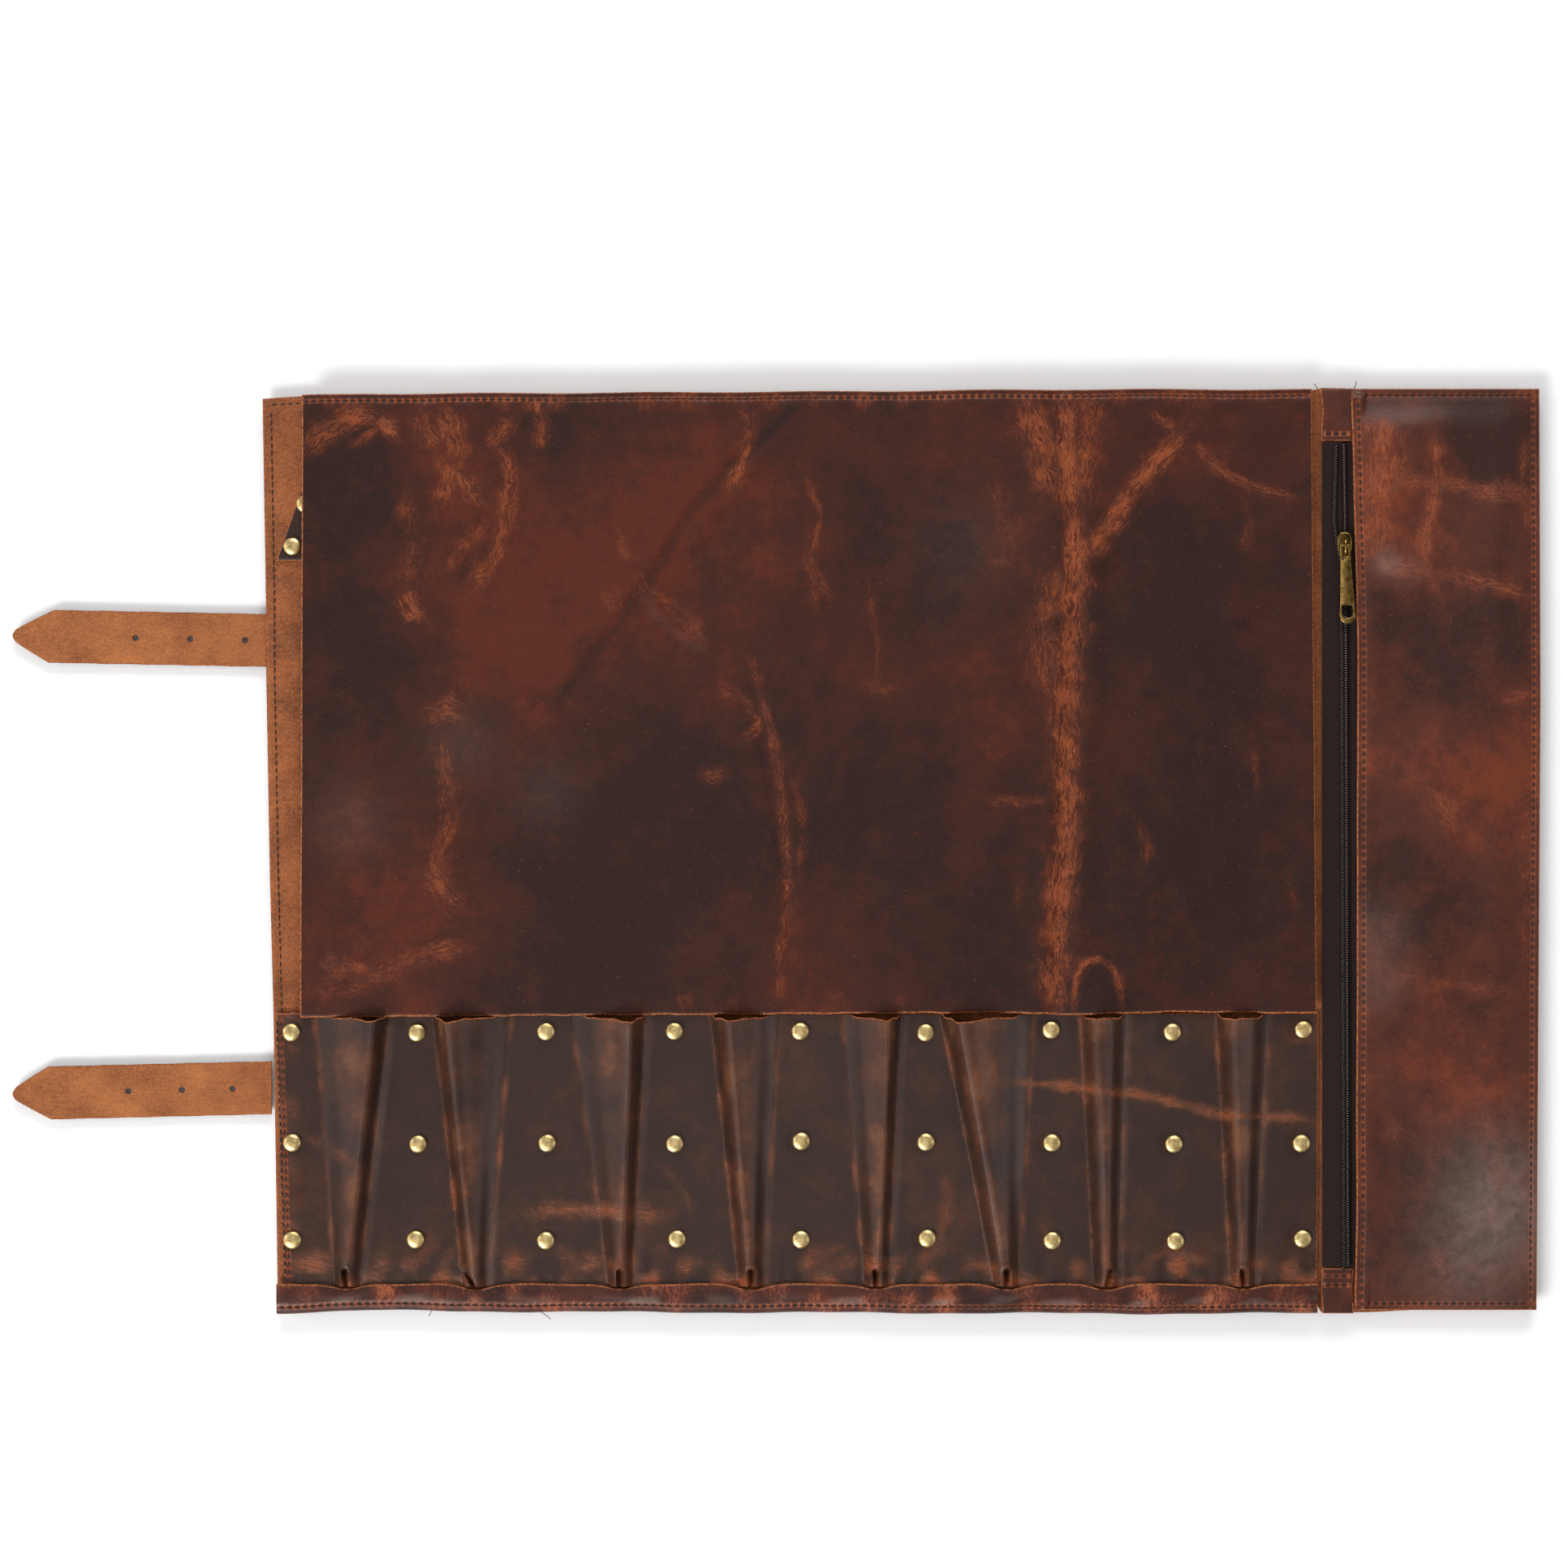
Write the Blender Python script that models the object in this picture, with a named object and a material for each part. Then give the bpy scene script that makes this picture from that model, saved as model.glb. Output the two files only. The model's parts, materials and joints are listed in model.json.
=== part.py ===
"""A leather tool-roll pencil case lying open and flat, as an assembly of separate pieces.

Metres, +Z up. The origin is the middle of the footprint, on the surface that the case lies on.
+X runs from the closing straps to the zip pocket, and +Y runs from the pocket feet to the flap's hinge.
The case rolls up along X about four fold lines, so its layers are cut into panels there.
"""

import math
import random

import bmesh
import bpy
from mathutils import Matrix, Vector

MM = 0.001
GAP = 0.3 * MM  # clearance between neighbouring pieces

# Footprint
HALF_LENGTH = 375.2 * MM  # strap tip to zip pocket edge, halved
HALF_DEPTH = 226.8 * MM
LEFT_EDGE_TOP = -252.0 * MM
LEFT_EDGE_BOTTOM = -245.0 * MM
RIGHT_EDGE = HALF_LENGTH
FOLD_LINES = [-104.2 * MM, 26.0 * MM, 145.5 * MM, 267.0 * MM]

# Layers, from the table upwards
TAB_THICK = 1.0 * MM
BUCKLE_BAY = 2.6 * MM  # inside height of a buckle tab's loop
BACKING_Z = (4.9 * MM, 6.9 * MM)
POCKET_Z = (7.2 * MM, 9.0 * MM)
HEM_Z = (9.3 * MM, 11.1 * MM)
FLAP_Z = (11.5 * MM, 13.3 * MM)
FOLD_AXIS_Z = 13.3 * MM  # the roll turns about its inner side

# Pocket strip
HEM_DEPTH = 12.8 * MM
POCKET_TOP_Y = -81.4 * MM
POCKET_FOOT_Y = -222.4 * MM
PLEAT_FOOT_WIDTH = 11.0 * MM
PLEAT_FOOT_RISE = 6.5 * MM
PLEAT_RAMP = 5.0 * MM
# Each pleat: middle at the mouth, middle at the foot, width and rise at the mouth
PLEATS = [
    (-206.0 * MM, -210.0 * MM, 34.0 * MM, 13.0 * MM),
    (-148.4 * MM, -146.8 * MM, 37.6 * MM, 14.0 * MM),
    (-82.4 * MM, -76.0 * MM, 36.0 * MM, 14.0 * MM),
    (-14.6 * MM, -11.6 * MM, 33.2 * MM, 13.0 * MM),
    (47.6 * MM, 49.6 * MM, 28.0 * MM, 12.5 * MM),
    (104.0 * MM, 113.6 * MM, 45.0 * MM, 15.0 * MM),
    (162.4 * MM, 162.4 * MM, 24.0 * MM, 11.5 * MM),
    (230.0 * MM, 229.6 * MM, 25.0 * MM, 12.0 * MM),
]
PLEAT_LINES = (-1.0, -0.8, -0.5, 0.0, 0.5, 0.8, 1.0)

# Rivets
RIVET_CAP_R = 4.4 * MM
RIVET_CAP_RISE = 2.1 * MM
RIVET_SHAFT_R = 1.6 * MM
RIVET_TAIL_R = 3.8 * MM
RIVET_TAIL_DEPTH = 0.9 * MM
RIVET_SIDES = 10
RIVET_COLUMNS = [x * MM for x in (-237.0, -176.0, -112.4, -48.6, 13.2, 74.6, 135.6, 195.6, 259.0)]
RIVET_ROWS = [-88.4 * MM, -143.0 * MM, -190.8 * MM]
RIVET_HAND_ERROR = 0.9 * MM  # the rivets are set by hand
HOLE_SIDES = 10

# Flap
FLAP_LEFT = -231.4 * MM
FLAP_RIGHT = 264.0 * MM
FLAP_BOTTOM_Y = -80.9 * MM
HINGE_MARGIN = 0.6 * MM

# Flat sleeve under the flap, a symmetric trapezoid
SLEEVE_BOTTOM_Y = 142.4 * MM
SLEEVE_TOP_Y = 212.0 * MM
SLEEVE_MIDDLE_X = -180.0 * MM
SLEEVE_HALF_BOTTOM = 64.8 * MM
SLEEVE_HALF_TOP = 43.8 * MM
SLEEVE_RIVET_INSET = 5.9 * MM

# Straps
STRAP_THICK = 1.8 * MM
STRAP_WIDTH = 26.4 * MM
STRAP_TIP = 19.0 * MM
STRAP_HOLES_FROM_TIP = (59.0 * MM, 85.0 * MM, 111.0 * MM)
STRAP_HOLE_R = 1.3 * MM
STRAP_Y = {"upper": 104.4 * MM, "lower": -116.8 * MM}

# Buckles, on the outer face of panel 4
BUCKLE_BAR_X = 203.0 * MM
TAB_WIDTH = 24.0 * MM
TAB_LENGTH = 34.0 * MM
TAB_RETURN = 22.0 * MM
FRAME_INNER = (14.0 * MM, 27.0 * MM)
FRAME_WIRE = 2.6 * MM
BAR_THICK = 1.5 * MM
PRONG_WIDTH = 2.4 * MM
PRONG_THICK = 1.0 * MM
PRONG_EYE_R = 1.15 * MM
PRONG_SLOT = 4.0 * MM

# Zip
ZIP_X = 279.0 * MM
ZIP_HALF_GAP = 0.5 * MM
TAPE_Z = (8.7 * MM, 9.3 * MM)
TAPE_LEFT = 268.2 * MM
TAPE_RIGHT = 292.0 * MM
COIL_WIDTH = 2.4 * MM
COIL_TOP_Z = 11.3 * MM
PATCH_THICK = 1.6 * MM
PATCH_RIGHT = 283.4 * MM
PATCH_TOP_Y = 201.2 * MM
PATCH_BOTTOM_Y = -204.8 * MM
SLIDER_Y = 149.2 * MM
SLIDER_LENGTH = 14.0 * MM
SLIDER_WIDTH = 8.6 * MM
SLIDER_PLATE = 1.2 * MM
SLIDER_NECK = 0.5 * MM
SLIDER_BASE_Z = 7.2 * MM
SLIDER_TOP_Z = 11.6 * MM
HOOP_WIDTH = 2.4 * MM
HOOP_WIRE = 1.0 * MM
HOOP_REACH = 4.6 * MM
HOOP_RISE = 3.8 * MM
PULL_AXIS_Z = 13.9 * MM
PULL_THICK = 1.2 * MM
PULL_BAR = 0.75 * MM
PULL_LENGTH = 38.0 * MM
PULL_HEAD_HALF = 2.9 * MM
PULL_TAIL_HALF = 3.9 * MM

# Front panel of the zip pocket
FRONT_LEFT = 284.4 * MM
FRONT_Z = (7.2 * MM, 9.0 * MM)  # at its sewn edges
FRONT_OVER_TAPE = 2.4 * MM
FRONT_CROWN = 2.4 * MM
FRONT_SEAM = 7.0 * MM

GRAIN = ("leather_grain", (0.10, 0.035, 0.018), 0.42, 0.0)
SUEDE = ("leather_suede", (0.36, 0.13, 0.045), 0.92, 0.0)
BRASS = ("antique_brass", (0.62, 0.45, 0.18), 0.32, 1.0)
TAPE = ("zip_tape", (0.035, 0.018, 0.014), 0.85, 0.0)


def clear_scene():
    for obj in list(bpy.data.objects):
        bpy.data.objects.remove(obj)


def material(spec):
    """The Principled material of a (name, colour, roughness, metallic) spec, made once."""
    name, colour, roughness, metallic = spec
    found = bpy.data.materials.get(name)
    if found:
        return found
    made = bpy.data.materials.new(name)
    made.use_nodes = True
    shader = made.node_tree.nodes["Principled BSDF"]
    shader.inputs["Base Color"].default_value = (*colour, 1.0)
    shader.inputs["Roughness"].default_value = roughness
    shader.inputs["Metallic"].default_value = metallic
    made.diffuse_color = (*colour, 1.0)
    return made


def add_object(name, bm, spec, smooth=False):
    """A mesh object from a bmesh, with its origin at the world origin."""
    bmesh.ops.recalc_face_normals(bm, faces=bm.faces)
    mesh = bpy.data.meshes.new(name)
    bm.to_mesh(mesh)
    bm.free()
    if smooth:
        mesh.shade_smooth()
        mesh.set_sharp_from_angle(angle=math.radians(35))
    mesh.materials.append(material(spec))
    obj = bpy.data.objects.new(name, mesh)
    bpy.context.scene.collection.objects.link(obj)
    return obj


def set_origin(obj, point):
    """Moves the object's origin to a point, such as its joint's axis, and leaves the shape in place."""
    obj.data.transform(Matrix.Translation(-Vector(point)))
    obj.location = point


def prism(outline, low, high, axis="Z"):
    """A bmesh of an outline pushed along an axis: (x, y) points for Z, (y, z) for X and (x, z) for Y."""
    place = {
        "X": lambda u, v, w: (w, u, v),
        "Y": lambda u, v, w: (u, w, v),
        "Z": lambda u, v, w: (u, v, w),
    }[axis]
    bm = bmesh.new()
    near = [bm.verts.new(place(u, v, low)) for u, v in outline]
    far = [bm.verts.new(place(u, v, high)) for u, v in outline]
    bm.faces.new(near)
    bm.faces.new(far)
    for i in range(len(outline)):
        j = (i + 1) % len(outline)
        bm.faces.new((near[i], near[j], far[j], far[i]))
    return bm


def grid_solid(under, over):
    """A bmesh closed round two grids of points, each a list of rows."""
    bm = bmesh.new()
    sheets = [[[bm.verts.new(point) for point in row] for row in sheet] for sheet in (under, over)]
    rows, columns = len(under), len(under[0])
    for sheet in sheets:
        for r in range(rows - 1):
            for c in range(columns - 1):
                bm.faces.new((sheet[r][c], sheet[r][c + 1], sheet[r + 1][c + 1], sheet[r + 1][c]))
    low, high = sheets
    for r in range(rows - 1):
        for c in (0, columns - 1):
            bm.faces.new((low[r][c], low[r + 1][c], high[r + 1][c], high[r][c]))
    for c in range(columns - 1):
        for r in (0, rows - 1):
            bm.faces.new((low[r][c], low[r][c + 1], high[r][c + 1], high[r][c]))
    bmesh.ops.triangulate(bm, faces=bm.faces)
    return bm


def rectangle(x0, x1, y0, y1):
    return [(x0, y0), (x1, y0), (x1, y1), (x0, y1)]


def arc(cx, cy, radius, start, end, steps):
    """Points on a circle from one angle in degrees to another."""
    angles = [math.radians(start + (end - start) * i / steps) for i in range(steps + 1)]
    return [(cx + radius * math.cos(a), cy + radius * math.sin(a)) for a in angles]


def cutter(name, bm):
    obj = add_object(name, bm, GRAIN)
    obj.hide_render = True
    obj.display_type = "WIRE"
    return obj


def boolean(obj, tool, operation):
    modifier = obj.modifiers.new(tool.name, "BOOLEAN")
    modifier.operation = operation
    modifier.solver = "EXACT"
    modifier.object = tool


def hole_cutter(name, points, radius, low, high):
    """One cutter with a round post at each (x, y) point."""
    bm = bmesh.new()
    for x, y in points:
        bmesh.ops.create_cone(
            bm,
            cap_ends=True,
            segments=HOLE_SIDES,
            radius1=radius,
            radius2=radius,
            depth=high - low,
            matrix=Matrix.Translation((x, y, (low + high) / 2)),
        )
    return cutter(name, bm)


def left_edge_x(y):
    """The backing's left edge, which runs slightly askew."""
    share = (y + HALF_DEPTH) / (2 * HALF_DEPTH)
    return LEFT_EDGE_BOTTOM + (LEFT_EDGE_TOP - LEFT_EDGE_BOTTOM) * share


def panel_span(index):
    """The x range of a panel, 0 to 4, clear of its fold lines."""
    low = FOLD_LINES[index - 1] + GAP / 2 if index else LEFT_EDGE_TOP
    high = FOLD_LINES[index] - GAP / 2 if index < len(FOLD_LINES) else RIGHT_EDGE
    return low, high


def rivet_places():
    """{(row, column): (x, y)} with the small errors of rivets set by hand."""
    rng = random.Random(7)
    error = RIVET_HAND_ERROR
    return {
        (row, column): (x + rng.uniform(-error, error), y + rng.uniform(-error, error))
        for row, y in enumerate(RIVET_ROWS)
        for column, x in enumerate(RIVET_COLUMNS)
    }


def sleeve_outline():
    half_b, half_t, mid = SLEEVE_HALF_BOTTOM, SLEEVE_HALF_TOP, SLEEVE_MIDDLE_X
    return [
        (mid - half_b, SLEEVE_BOTTOM_Y),
        (mid + half_b, SLEEVE_BOTTOM_Y),
        (mid + half_t, SLEEVE_TOP_Y),
        (mid - half_t, SLEEVE_TOP_Y),
    ]


def sleeve_rivet_places():
    """Two rivets down each slanted edge."""
    places = []
    for side in (-1, 1):
        for share in (0.1, 0.4):
            half = SLEEVE_HALF_BOTTOM + (SLEEVE_HALF_TOP - SLEEVE_HALF_BOTTOM) * share - SLEEVE_RIVET_INSET
            y = SLEEVE_BOTTOM_Y + (SLEEVE_TOP_Y - SLEEVE_BOTTOM_Y) * share
            places.append((SLEEVE_MIDDLE_X + side * half, y))
    return places


def in_panel(points, index):
    low, high = panel_span(index)
    return [p for p in points if low < p[0] < high]


def hem_section():
    """The backing's (y, z) outline: flat, turned up round its lower edge, and back over the pocket strip."""
    outer_r = (HEM_Z[1] - BACKING_Z[0]) / 2
    inner_r = (HEM_Z[0] - BACKING_Z[1]) / 2
    mid_z = (HEM_Z[1] + BACKING_Z[0]) / 2
    bend_y = -HALF_DEPTH + outer_r
    top_y = HALF_DEPTH - HINGE_MARGIN
    lip_y = -HALF_DEPTH + HEM_DEPTH
    outline = [(top_y, BACKING_Z[1]), (top_y, BACKING_Z[0])]
    outline += arc(bend_y, mid_z, outer_r, 270, 90, 8)
    outline += [(lip_y, HEM_Z[1]), (lip_y, HEM_Z[0])]
    outline += arc(bend_y, mid_z, inner_r, 90, 270, 6)
    return outline


def add_backing_panels(places):
    sleeve_points = sleeve_rivet_places()
    for index in range(5):
        low, high = panel_span(index)
        if index < 4:
            bm = prism(hem_section(), low, high, "X")
        else:
            bm = prism(rectangle(low, high, -HALF_DEPTH, HALF_DEPTH), *BACKING_Z)
        if index == 0:
            for vert in bm.verts:
                if vert.co.x < low + GAP:
                    vert.co.x = left_edge_x(vert.co.y)
        obj = add_object(f"backing_panel_{index + 1}", bm, SUEDE)
        points = in_panel(list(places.values()) + sleeve_points, index)
        if points:
            tool = hole_cutter(f"backing_holes_{index + 1}", points, RIVET_SHAFT_R + GAP, 0, POCKET_Z[0])
            boolean(obj, tool, "DIFFERENCE")


def pleat_at(pleat, y):
    """(middle x, half width, rise) of a pleat where it crosses y."""
    mouth_x, foot_x, mouth_width, mouth_rise = pleat
    foot_y = -HALF_DEPTH + HEM_DEPTH
    share = min(1.0, max(0.0, (POCKET_TOP_Y - y) / (POCKET_TOP_Y - foot_y)))
    middle = mouth_x + (foot_x - mouth_x) * share
    half = (mouth_width + (PLEAT_FOOT_WIDTH - mouth_width) * share**0.9) / 2
    rise = mouth_rise + (PLEAT_FOOT_RISE - mouth_rise) * share
    ramp = min(1.0, max(0.0, (y - foot_y - GAP) / PLEAT_RAMP))
    return middle, half, rise * math.sin(ramp * math.pi / 2)


def pleat_profile(s):
    """Height share across a pleat: steep flanks and a rounded crest."""
    return (0.5 + 0.5 * math.cos(math.pi * s)) ** 0.6 if abs(s) < 1 else 0.0


def pocket_rows():
    foot_y = -HALF_DEPTH + HEM_DEPTH
    body = [POCKET_TOP_Y + (foot_y + PLEAT_RAMP + GAP - POCKET_TOP_Y) * i / 5 for i in range(6)]
    ramp = [foot_y + GAP + PLEAT_RAMP * share for share in (0.4, 0.0)]
    return body + ramp + [POCKET_FOOT_Y]


def pocket_columns(index, y):
    """(x, height) along one row of a pocket panel, with lines that follow its two pleats."""
    low, high = panel_span(index)
    low = left_edge_x(y) + 2.2 * MM if index == 0 else low
    high = high - 1.0 * MM if index == 3 else high
    points = [(low, 0.0)]
    for pleat in PLEATS[2 * index : 2 * index + 2]:
        middle, half, rise = pleat_at(pleat, y)
        points += [(middle + half * s, rise * pleat_profile(s)) for s in PLEAT_LINES]
    return points + [(high, 0.0)]


def add_pocket_panels(places):
    """The riveted pocket strip: a sheet whose pleats stand up and taper to the hem, hollow beneath."""
    for index in range(4):
        sheets = [
            [[(x, y, base + h) for x, h in pocket_columns(index, y)] for y in pocket_rows()]
            for base in POCKET_Z
        ]
        obj = add_object(f"pocket_panel_{index + 1}", grid_solid(*sheets), GRAIN, smooth=True)
        points = in_panel(places.values(), index)
        radius = RIVET_SHAFT_R + GAP
        tool = hole_cutter(f"pocket_holes_{index + 1}", points, radius, BACKING_Z[0], FLAP_Z[1])
        boolean(obj, tool, "DIFFERENCE")


def rivet_profile(seat_z):
    """(radius, z) of a double-capped rivet, from its tail's middle up to the cap's crown."""
    tail_top = BACKING_Z[0] - GAP
    cap_base = seat_z + GAP
    rim = 0.45 * RIVET_CAP_RISE
    dome = [
        (RIVET_CAP_R * math.cos(a), cap_base + rim + (RIVET_CAP_RISE - rim) * math.sin(a))
        for a in (0.0, 0.8)
    ]
    return [
        (0.0, tail_top - RIVET_TAIL_DEPTH),
        (RIVET_TAIL_R * 0.8, tail_top - RIVET_TAIL_DEPTH),
        (RIVET_TAIL_R, tail_top),
        (RIVET_SHAFT_R, tail_top),
        (RIVET_SHAFT_R, cap_base),
        (RIVET_CAP_R, cap_base),
        *dome,
        (0.0, cap_base + RIVET_CAP_RISE),
    ]


def add_rivet(name, x, y, seat_z):
    bm = bmesh.new()
    profile = [bm.verts.new((r, 0, z)) for r, z in rivet_profile(seat_z)]
    edges = [bm.edges.new(pair) for pair in zip(profile, profile[1:])]
    bmesh.ops.spin(
        bm,
        geom=profile + edges,
        cent=(0, 0, 0),
        axis=(0, 0, 1),
        angle=2 * math.pi,
        steps=RIVET_SIDES,
        use_merge=True,
    )
    bmesh.ops.remove_doubles(bm, verts=bm.verts, dist=0.01 * MM)
    obj = add_object(name, bm, BRASS, smooth=True)
    obj.location = (x, y, 0)


def add_rivets(places):
    for (row, column), (x, y) in places.items():
        add_rivet(f"rivet_row_{row + 1}_column_{column + 1}", x, y, POCKET_Z[1])
    for number, (x, y) in enumerate(sleeve_rivet_places(), 1):
        add_rivet(f"sleeve_rivet_{number}", x, y, POCKET_Z[1])


def add_sleeve():
    obj = add_object("inner_sleeve", prism(sleeve_outline(), *POCKET_Z), GRAIN)
    tool = hole_cutter("sleeve_holes", sleeve_rivet_places(), RIVET_SHAFT_R + GAP, BACKING_Z[0], FLAP_Z[1])
    boolean(obj, tool, "DIFFERENCE")


def flap_hinge_z():
    return (BACKING_Z[1] + FLAP_Z[0]) / 2


def add_flap_panels():
    """The flap over the tool handles, sewn to the backing along its far edge."""
    far = HALF_DEPTH - HINGE_MARGIN
    for index in range(4):
        low, high = panel_span(index)
        low = FLAP_LEFT if index == 0 else low
        high = FLAP_RIGHT if index == 3 else high
        bm = prism(rectangle(low, high, FLAP_BOTTOM_Y, far), *FLAP_Z)
        obj = add_object(f"flap_panel_{index + 1}", bm, GRAIN)
        set_origin(obj, (0, HALF_DEPTH - HINGE_MARGIN / 2, flap_hinge_z()))


def add_straps():
    """Two pointed straps with three buckle holes, which leave from under the backing's left edge."""
    top = BACKING_Z[0] - GAP
    half = STRAP_WIDTH / 2
    for side, y in STRAP_Y.items():
        root = left_edge_x(y) - 2 * GAP
        tip = -HALF_LENGTH
        outline = [
            (root, y - half),
            (root, y + half),
            (tip + STRAP_TIP, y + half),
            (tip, y),
            (tip + STRAP_TIP, y - half),
        ]
        obj = add_object(f"strap_{side}", prism(outline, top - STRAP_THICK, top), SUEDE)
        points = [(tip + reach, y) for reach in STRAP_HOLES_FROM_TIP]
        boolean(obj, hole_cutter(f"strap_holes_{side}", points, STRAP_HOLE_R, 0, BACKING_Z[1]), "DIFFERENCE")
        set_origin(obj, (left_edge_x(y), y, BACKING_Z[0] - GAP / 2))


def buckle_bar_z():
    return TAB_THICK + BUCKLE_BAY / 2


def tab_section():
    """A (x, z) strap folded round the buckle's bar, with both ends towards -X."""
    outer_r = BUCKLE_BAY / 2 + TAB_THICK
    inner_r = BUCKLE_BAY / 2
    x, z = BUCKLE_BAR_X, buckle_bar_z()
    outline = [(x - TAB_LENGTH, z + outer_r), (x - TAB_LENGTH, z + inner_r)]
    outline += arc(x, z, inner_r, 90, -90, 8)
    outline += [(x - TAB_RETURN, z - inner_r), (x - TAB_RETURN, z - outer_r)]
    outline += arc(x, z, outer_r, -90, 90, 10)
    return outline


def add_buckle_tab(side, y):
    bm = prism(tab_section(), y - TAB_WIDTH / 2, y + TAB_WIDTH / 2, "Y")
    obj = add_object(f"buckle_tab_{side}", bm, GRAIN)
    half = PRONG_SLOT / 2
    opening = rectangle(BUCKLE_BAR_X - 3 * MM, BUCKLE_BAR_X + 4 * MM, y - half, y + half)
    slot = prism(opening, -MM, BACKING_Z[0])
    boolean(obj, cutter(f"prong_slot_{side}", slot), "DIFFERENCE")


def add_buckle_frame(side, y):
    """A rectangular ring: a thin bar inside the tab's loop and three heavier sides."""
    inner_x, inner_y = FRAME_INNER
    bar = BAR_THICK / 2
    z = buckle_bar_z()
    x0 = BUCKLE_BAR_X + bar
    x1 = x0 + inner_x + FRAME_WIRE
    half = inner_y / 2
    outer = rectangle(BUCKLE_BAR_X - bar, x1, y - half - FRAME_WIRE, y + half + FRAME_WIRE)
    obj = add_object(f"buckle_frame_{side}", prism(outer, z - bar, z + bar), BRASS)
    window = prism(rectangle(x0, x0 + inner_x, y - half, y + half), 0, 2 * z)
    boolean(obj, cutter(f"frame_window_{side}", window), "DIFFERENCE")


def prong_section():
    """A (x, z) hook open by 60 degrees round the bar, with a tongue that reaches past the frame."""
    x, z = BUCKLE_BAR_X, buckle_bar_z()
    outer_r = PRONG_EYE_R + PRONG_THICK * 0.75
    tip_x = x + BAR_THICK / 2 + FRAME_INNER[0] + FRAME_WIRE + 0.8 * MM
    low, high = z - BAR_THICK / 2 - GAP - PRONG_THICK, z - BAR_THICK / 2 - GAP
    outline = arc(x, z, outer_r, 30, 270, 8)
    outline += [(x + 0.8 * MM, low), (tip_x, low + 0.3 * MM), (tip_x, high), (x + 1.6 * MM, high)]
    return outline + arc(x, z, PRONG_EYE_R, 300, 30, 8)


def add_buckle_prong(side, y):
    half = PRONG_WIDTH / 2
    obj = add_object(f"buckle_prong_{side}", prism(prong_section(), y - half, y + half, "Y"), BRASS)
    set_origin(obj, (BUCKLE_BAR_X, y, buckle_bar_z()))


def add_buckles():
    for side, y in STRAP_Y.items():
        add_buckle_tab(side, y)
        add_buckle_frame(side, y)
        add_buckle_prong(side, y)


def stringer_section(side):
    """A (x, z) tape with its coil on top. side is -1 for the left stringer and 1 for the right one."""
    inner = ZIP_X + side * ZIP_HALF_GAP
    coil = inner + side * COIL_WIDTH
    outer = TAPE_LEFT if side < 0 else TAPE_RIGHT
    return [
        (inner, TAPE_Z[0]),
        (inner, COIL_TOP_Z),
        (coil, COIL_TOP_Z),
        (coil, TAPE_Z[1]),
        (outer, TAPE_Z[1]),
        (outer, TAPE_Z[0]),
    ]


def add_zip():
    low, high = PATCH_BOTTOM_Y + GAP, PATCH_TOP_Y - GAP
    for side, name in ((-1, "left"), (1, "right")):
        add_object(f"zip_stringer_{name}", prism(stringer_section(side), low, high, "Y"), TAPE)
    patch_low = TAPE_Z[0]
    for name, y0, y1 in (
        ("top", PATCH_TOP_Y, HALF_DEPTH),
        ("bottom", -HALF_DEPTH, PATCH_BOTTOM_Y),
    ):
        outline = rectangle(TAPE_LEFT, PATCH_RIGHT, y0, y1)
        add_object(f"zip_patch_{name}", prism(outline, patch_low, patch_low + PATCH_THICK), GRAIN)


def slider_section():
    """A (x, z) section: a plate under the tapes, a neck between the coils and a plate above them."""
    half, neck = SLIDER_WIDTH / 2, SLIDER_NECK / 2
    base_top, roof = SLIDER_BASE_Z + SLIDER_PLATE, SLIDER_TOP_Z + SLIDER_PLATE
    x = ZIP_X
    return [
        (x - half, SLIDER_BASE_Z),
        (x + half, SLIDER_BASE_Z),
        (x + half, base_top),
        (x + neck, base_top),
        (x + neck, SLIDER_TOP_Z),
        (x + half, SLIDER_TOP_Z),
        (x + half, roof),
        (x - half, roof),
        (x - half, SLIDER_TOP_Z),
        (x - neck, SLIDER_TOP_Z),
        (x - neck, base_top),
        (x - half, base_top),
    ]


def add_slider():
    half = SLIDER_LENGTH / 2
    obj = add_object("zip_slider", prism(slider_section(), SLIDER_Y - half, SLIDER_Y + half, "Y"), BRASS)
    base = SLIDER_TOP_Z + SLIDER_PLATE / 2
    top = SLIDER_TOP_Z + SLIDER_PLATE + HOOP_RISE
    inner = HOOP_REACH - HOOP_WIRE
    hoop = [
        (SLIDER_Y - HOOP_REACH, base),
        (SLIDER_Y - HOOP_REACH, top - HOOP_WIRE),
        (SLIDER_Y - inner, top),
        (SLIDER_Y + inner, top),
        (SLIDER_Y + HOOP_REACH, top - HOOP_WIRE),
        (SLIDER_Y + HOOP_REACH, base),
        (SLIDER_Y + inner, base),
        (SLIDER_Y + inner, top - HOOP_WIRE),
        (SLIDER_Y - inner, top - HOOP_WIRE),
        (SLIDER_Y - inner, base),
    ]
    tool = cutter("slider_hoop", prism(hoop, ZIP_X - HOOP_WIDTH / 2, ZIP_X + HOOP_WIDTH / 2, "X"))
    boolean(obj, tool, "UNION")
    set_origin(obj, (ZIP_X, SLIDER_Y, SLIDER_TOP_Z))


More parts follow.
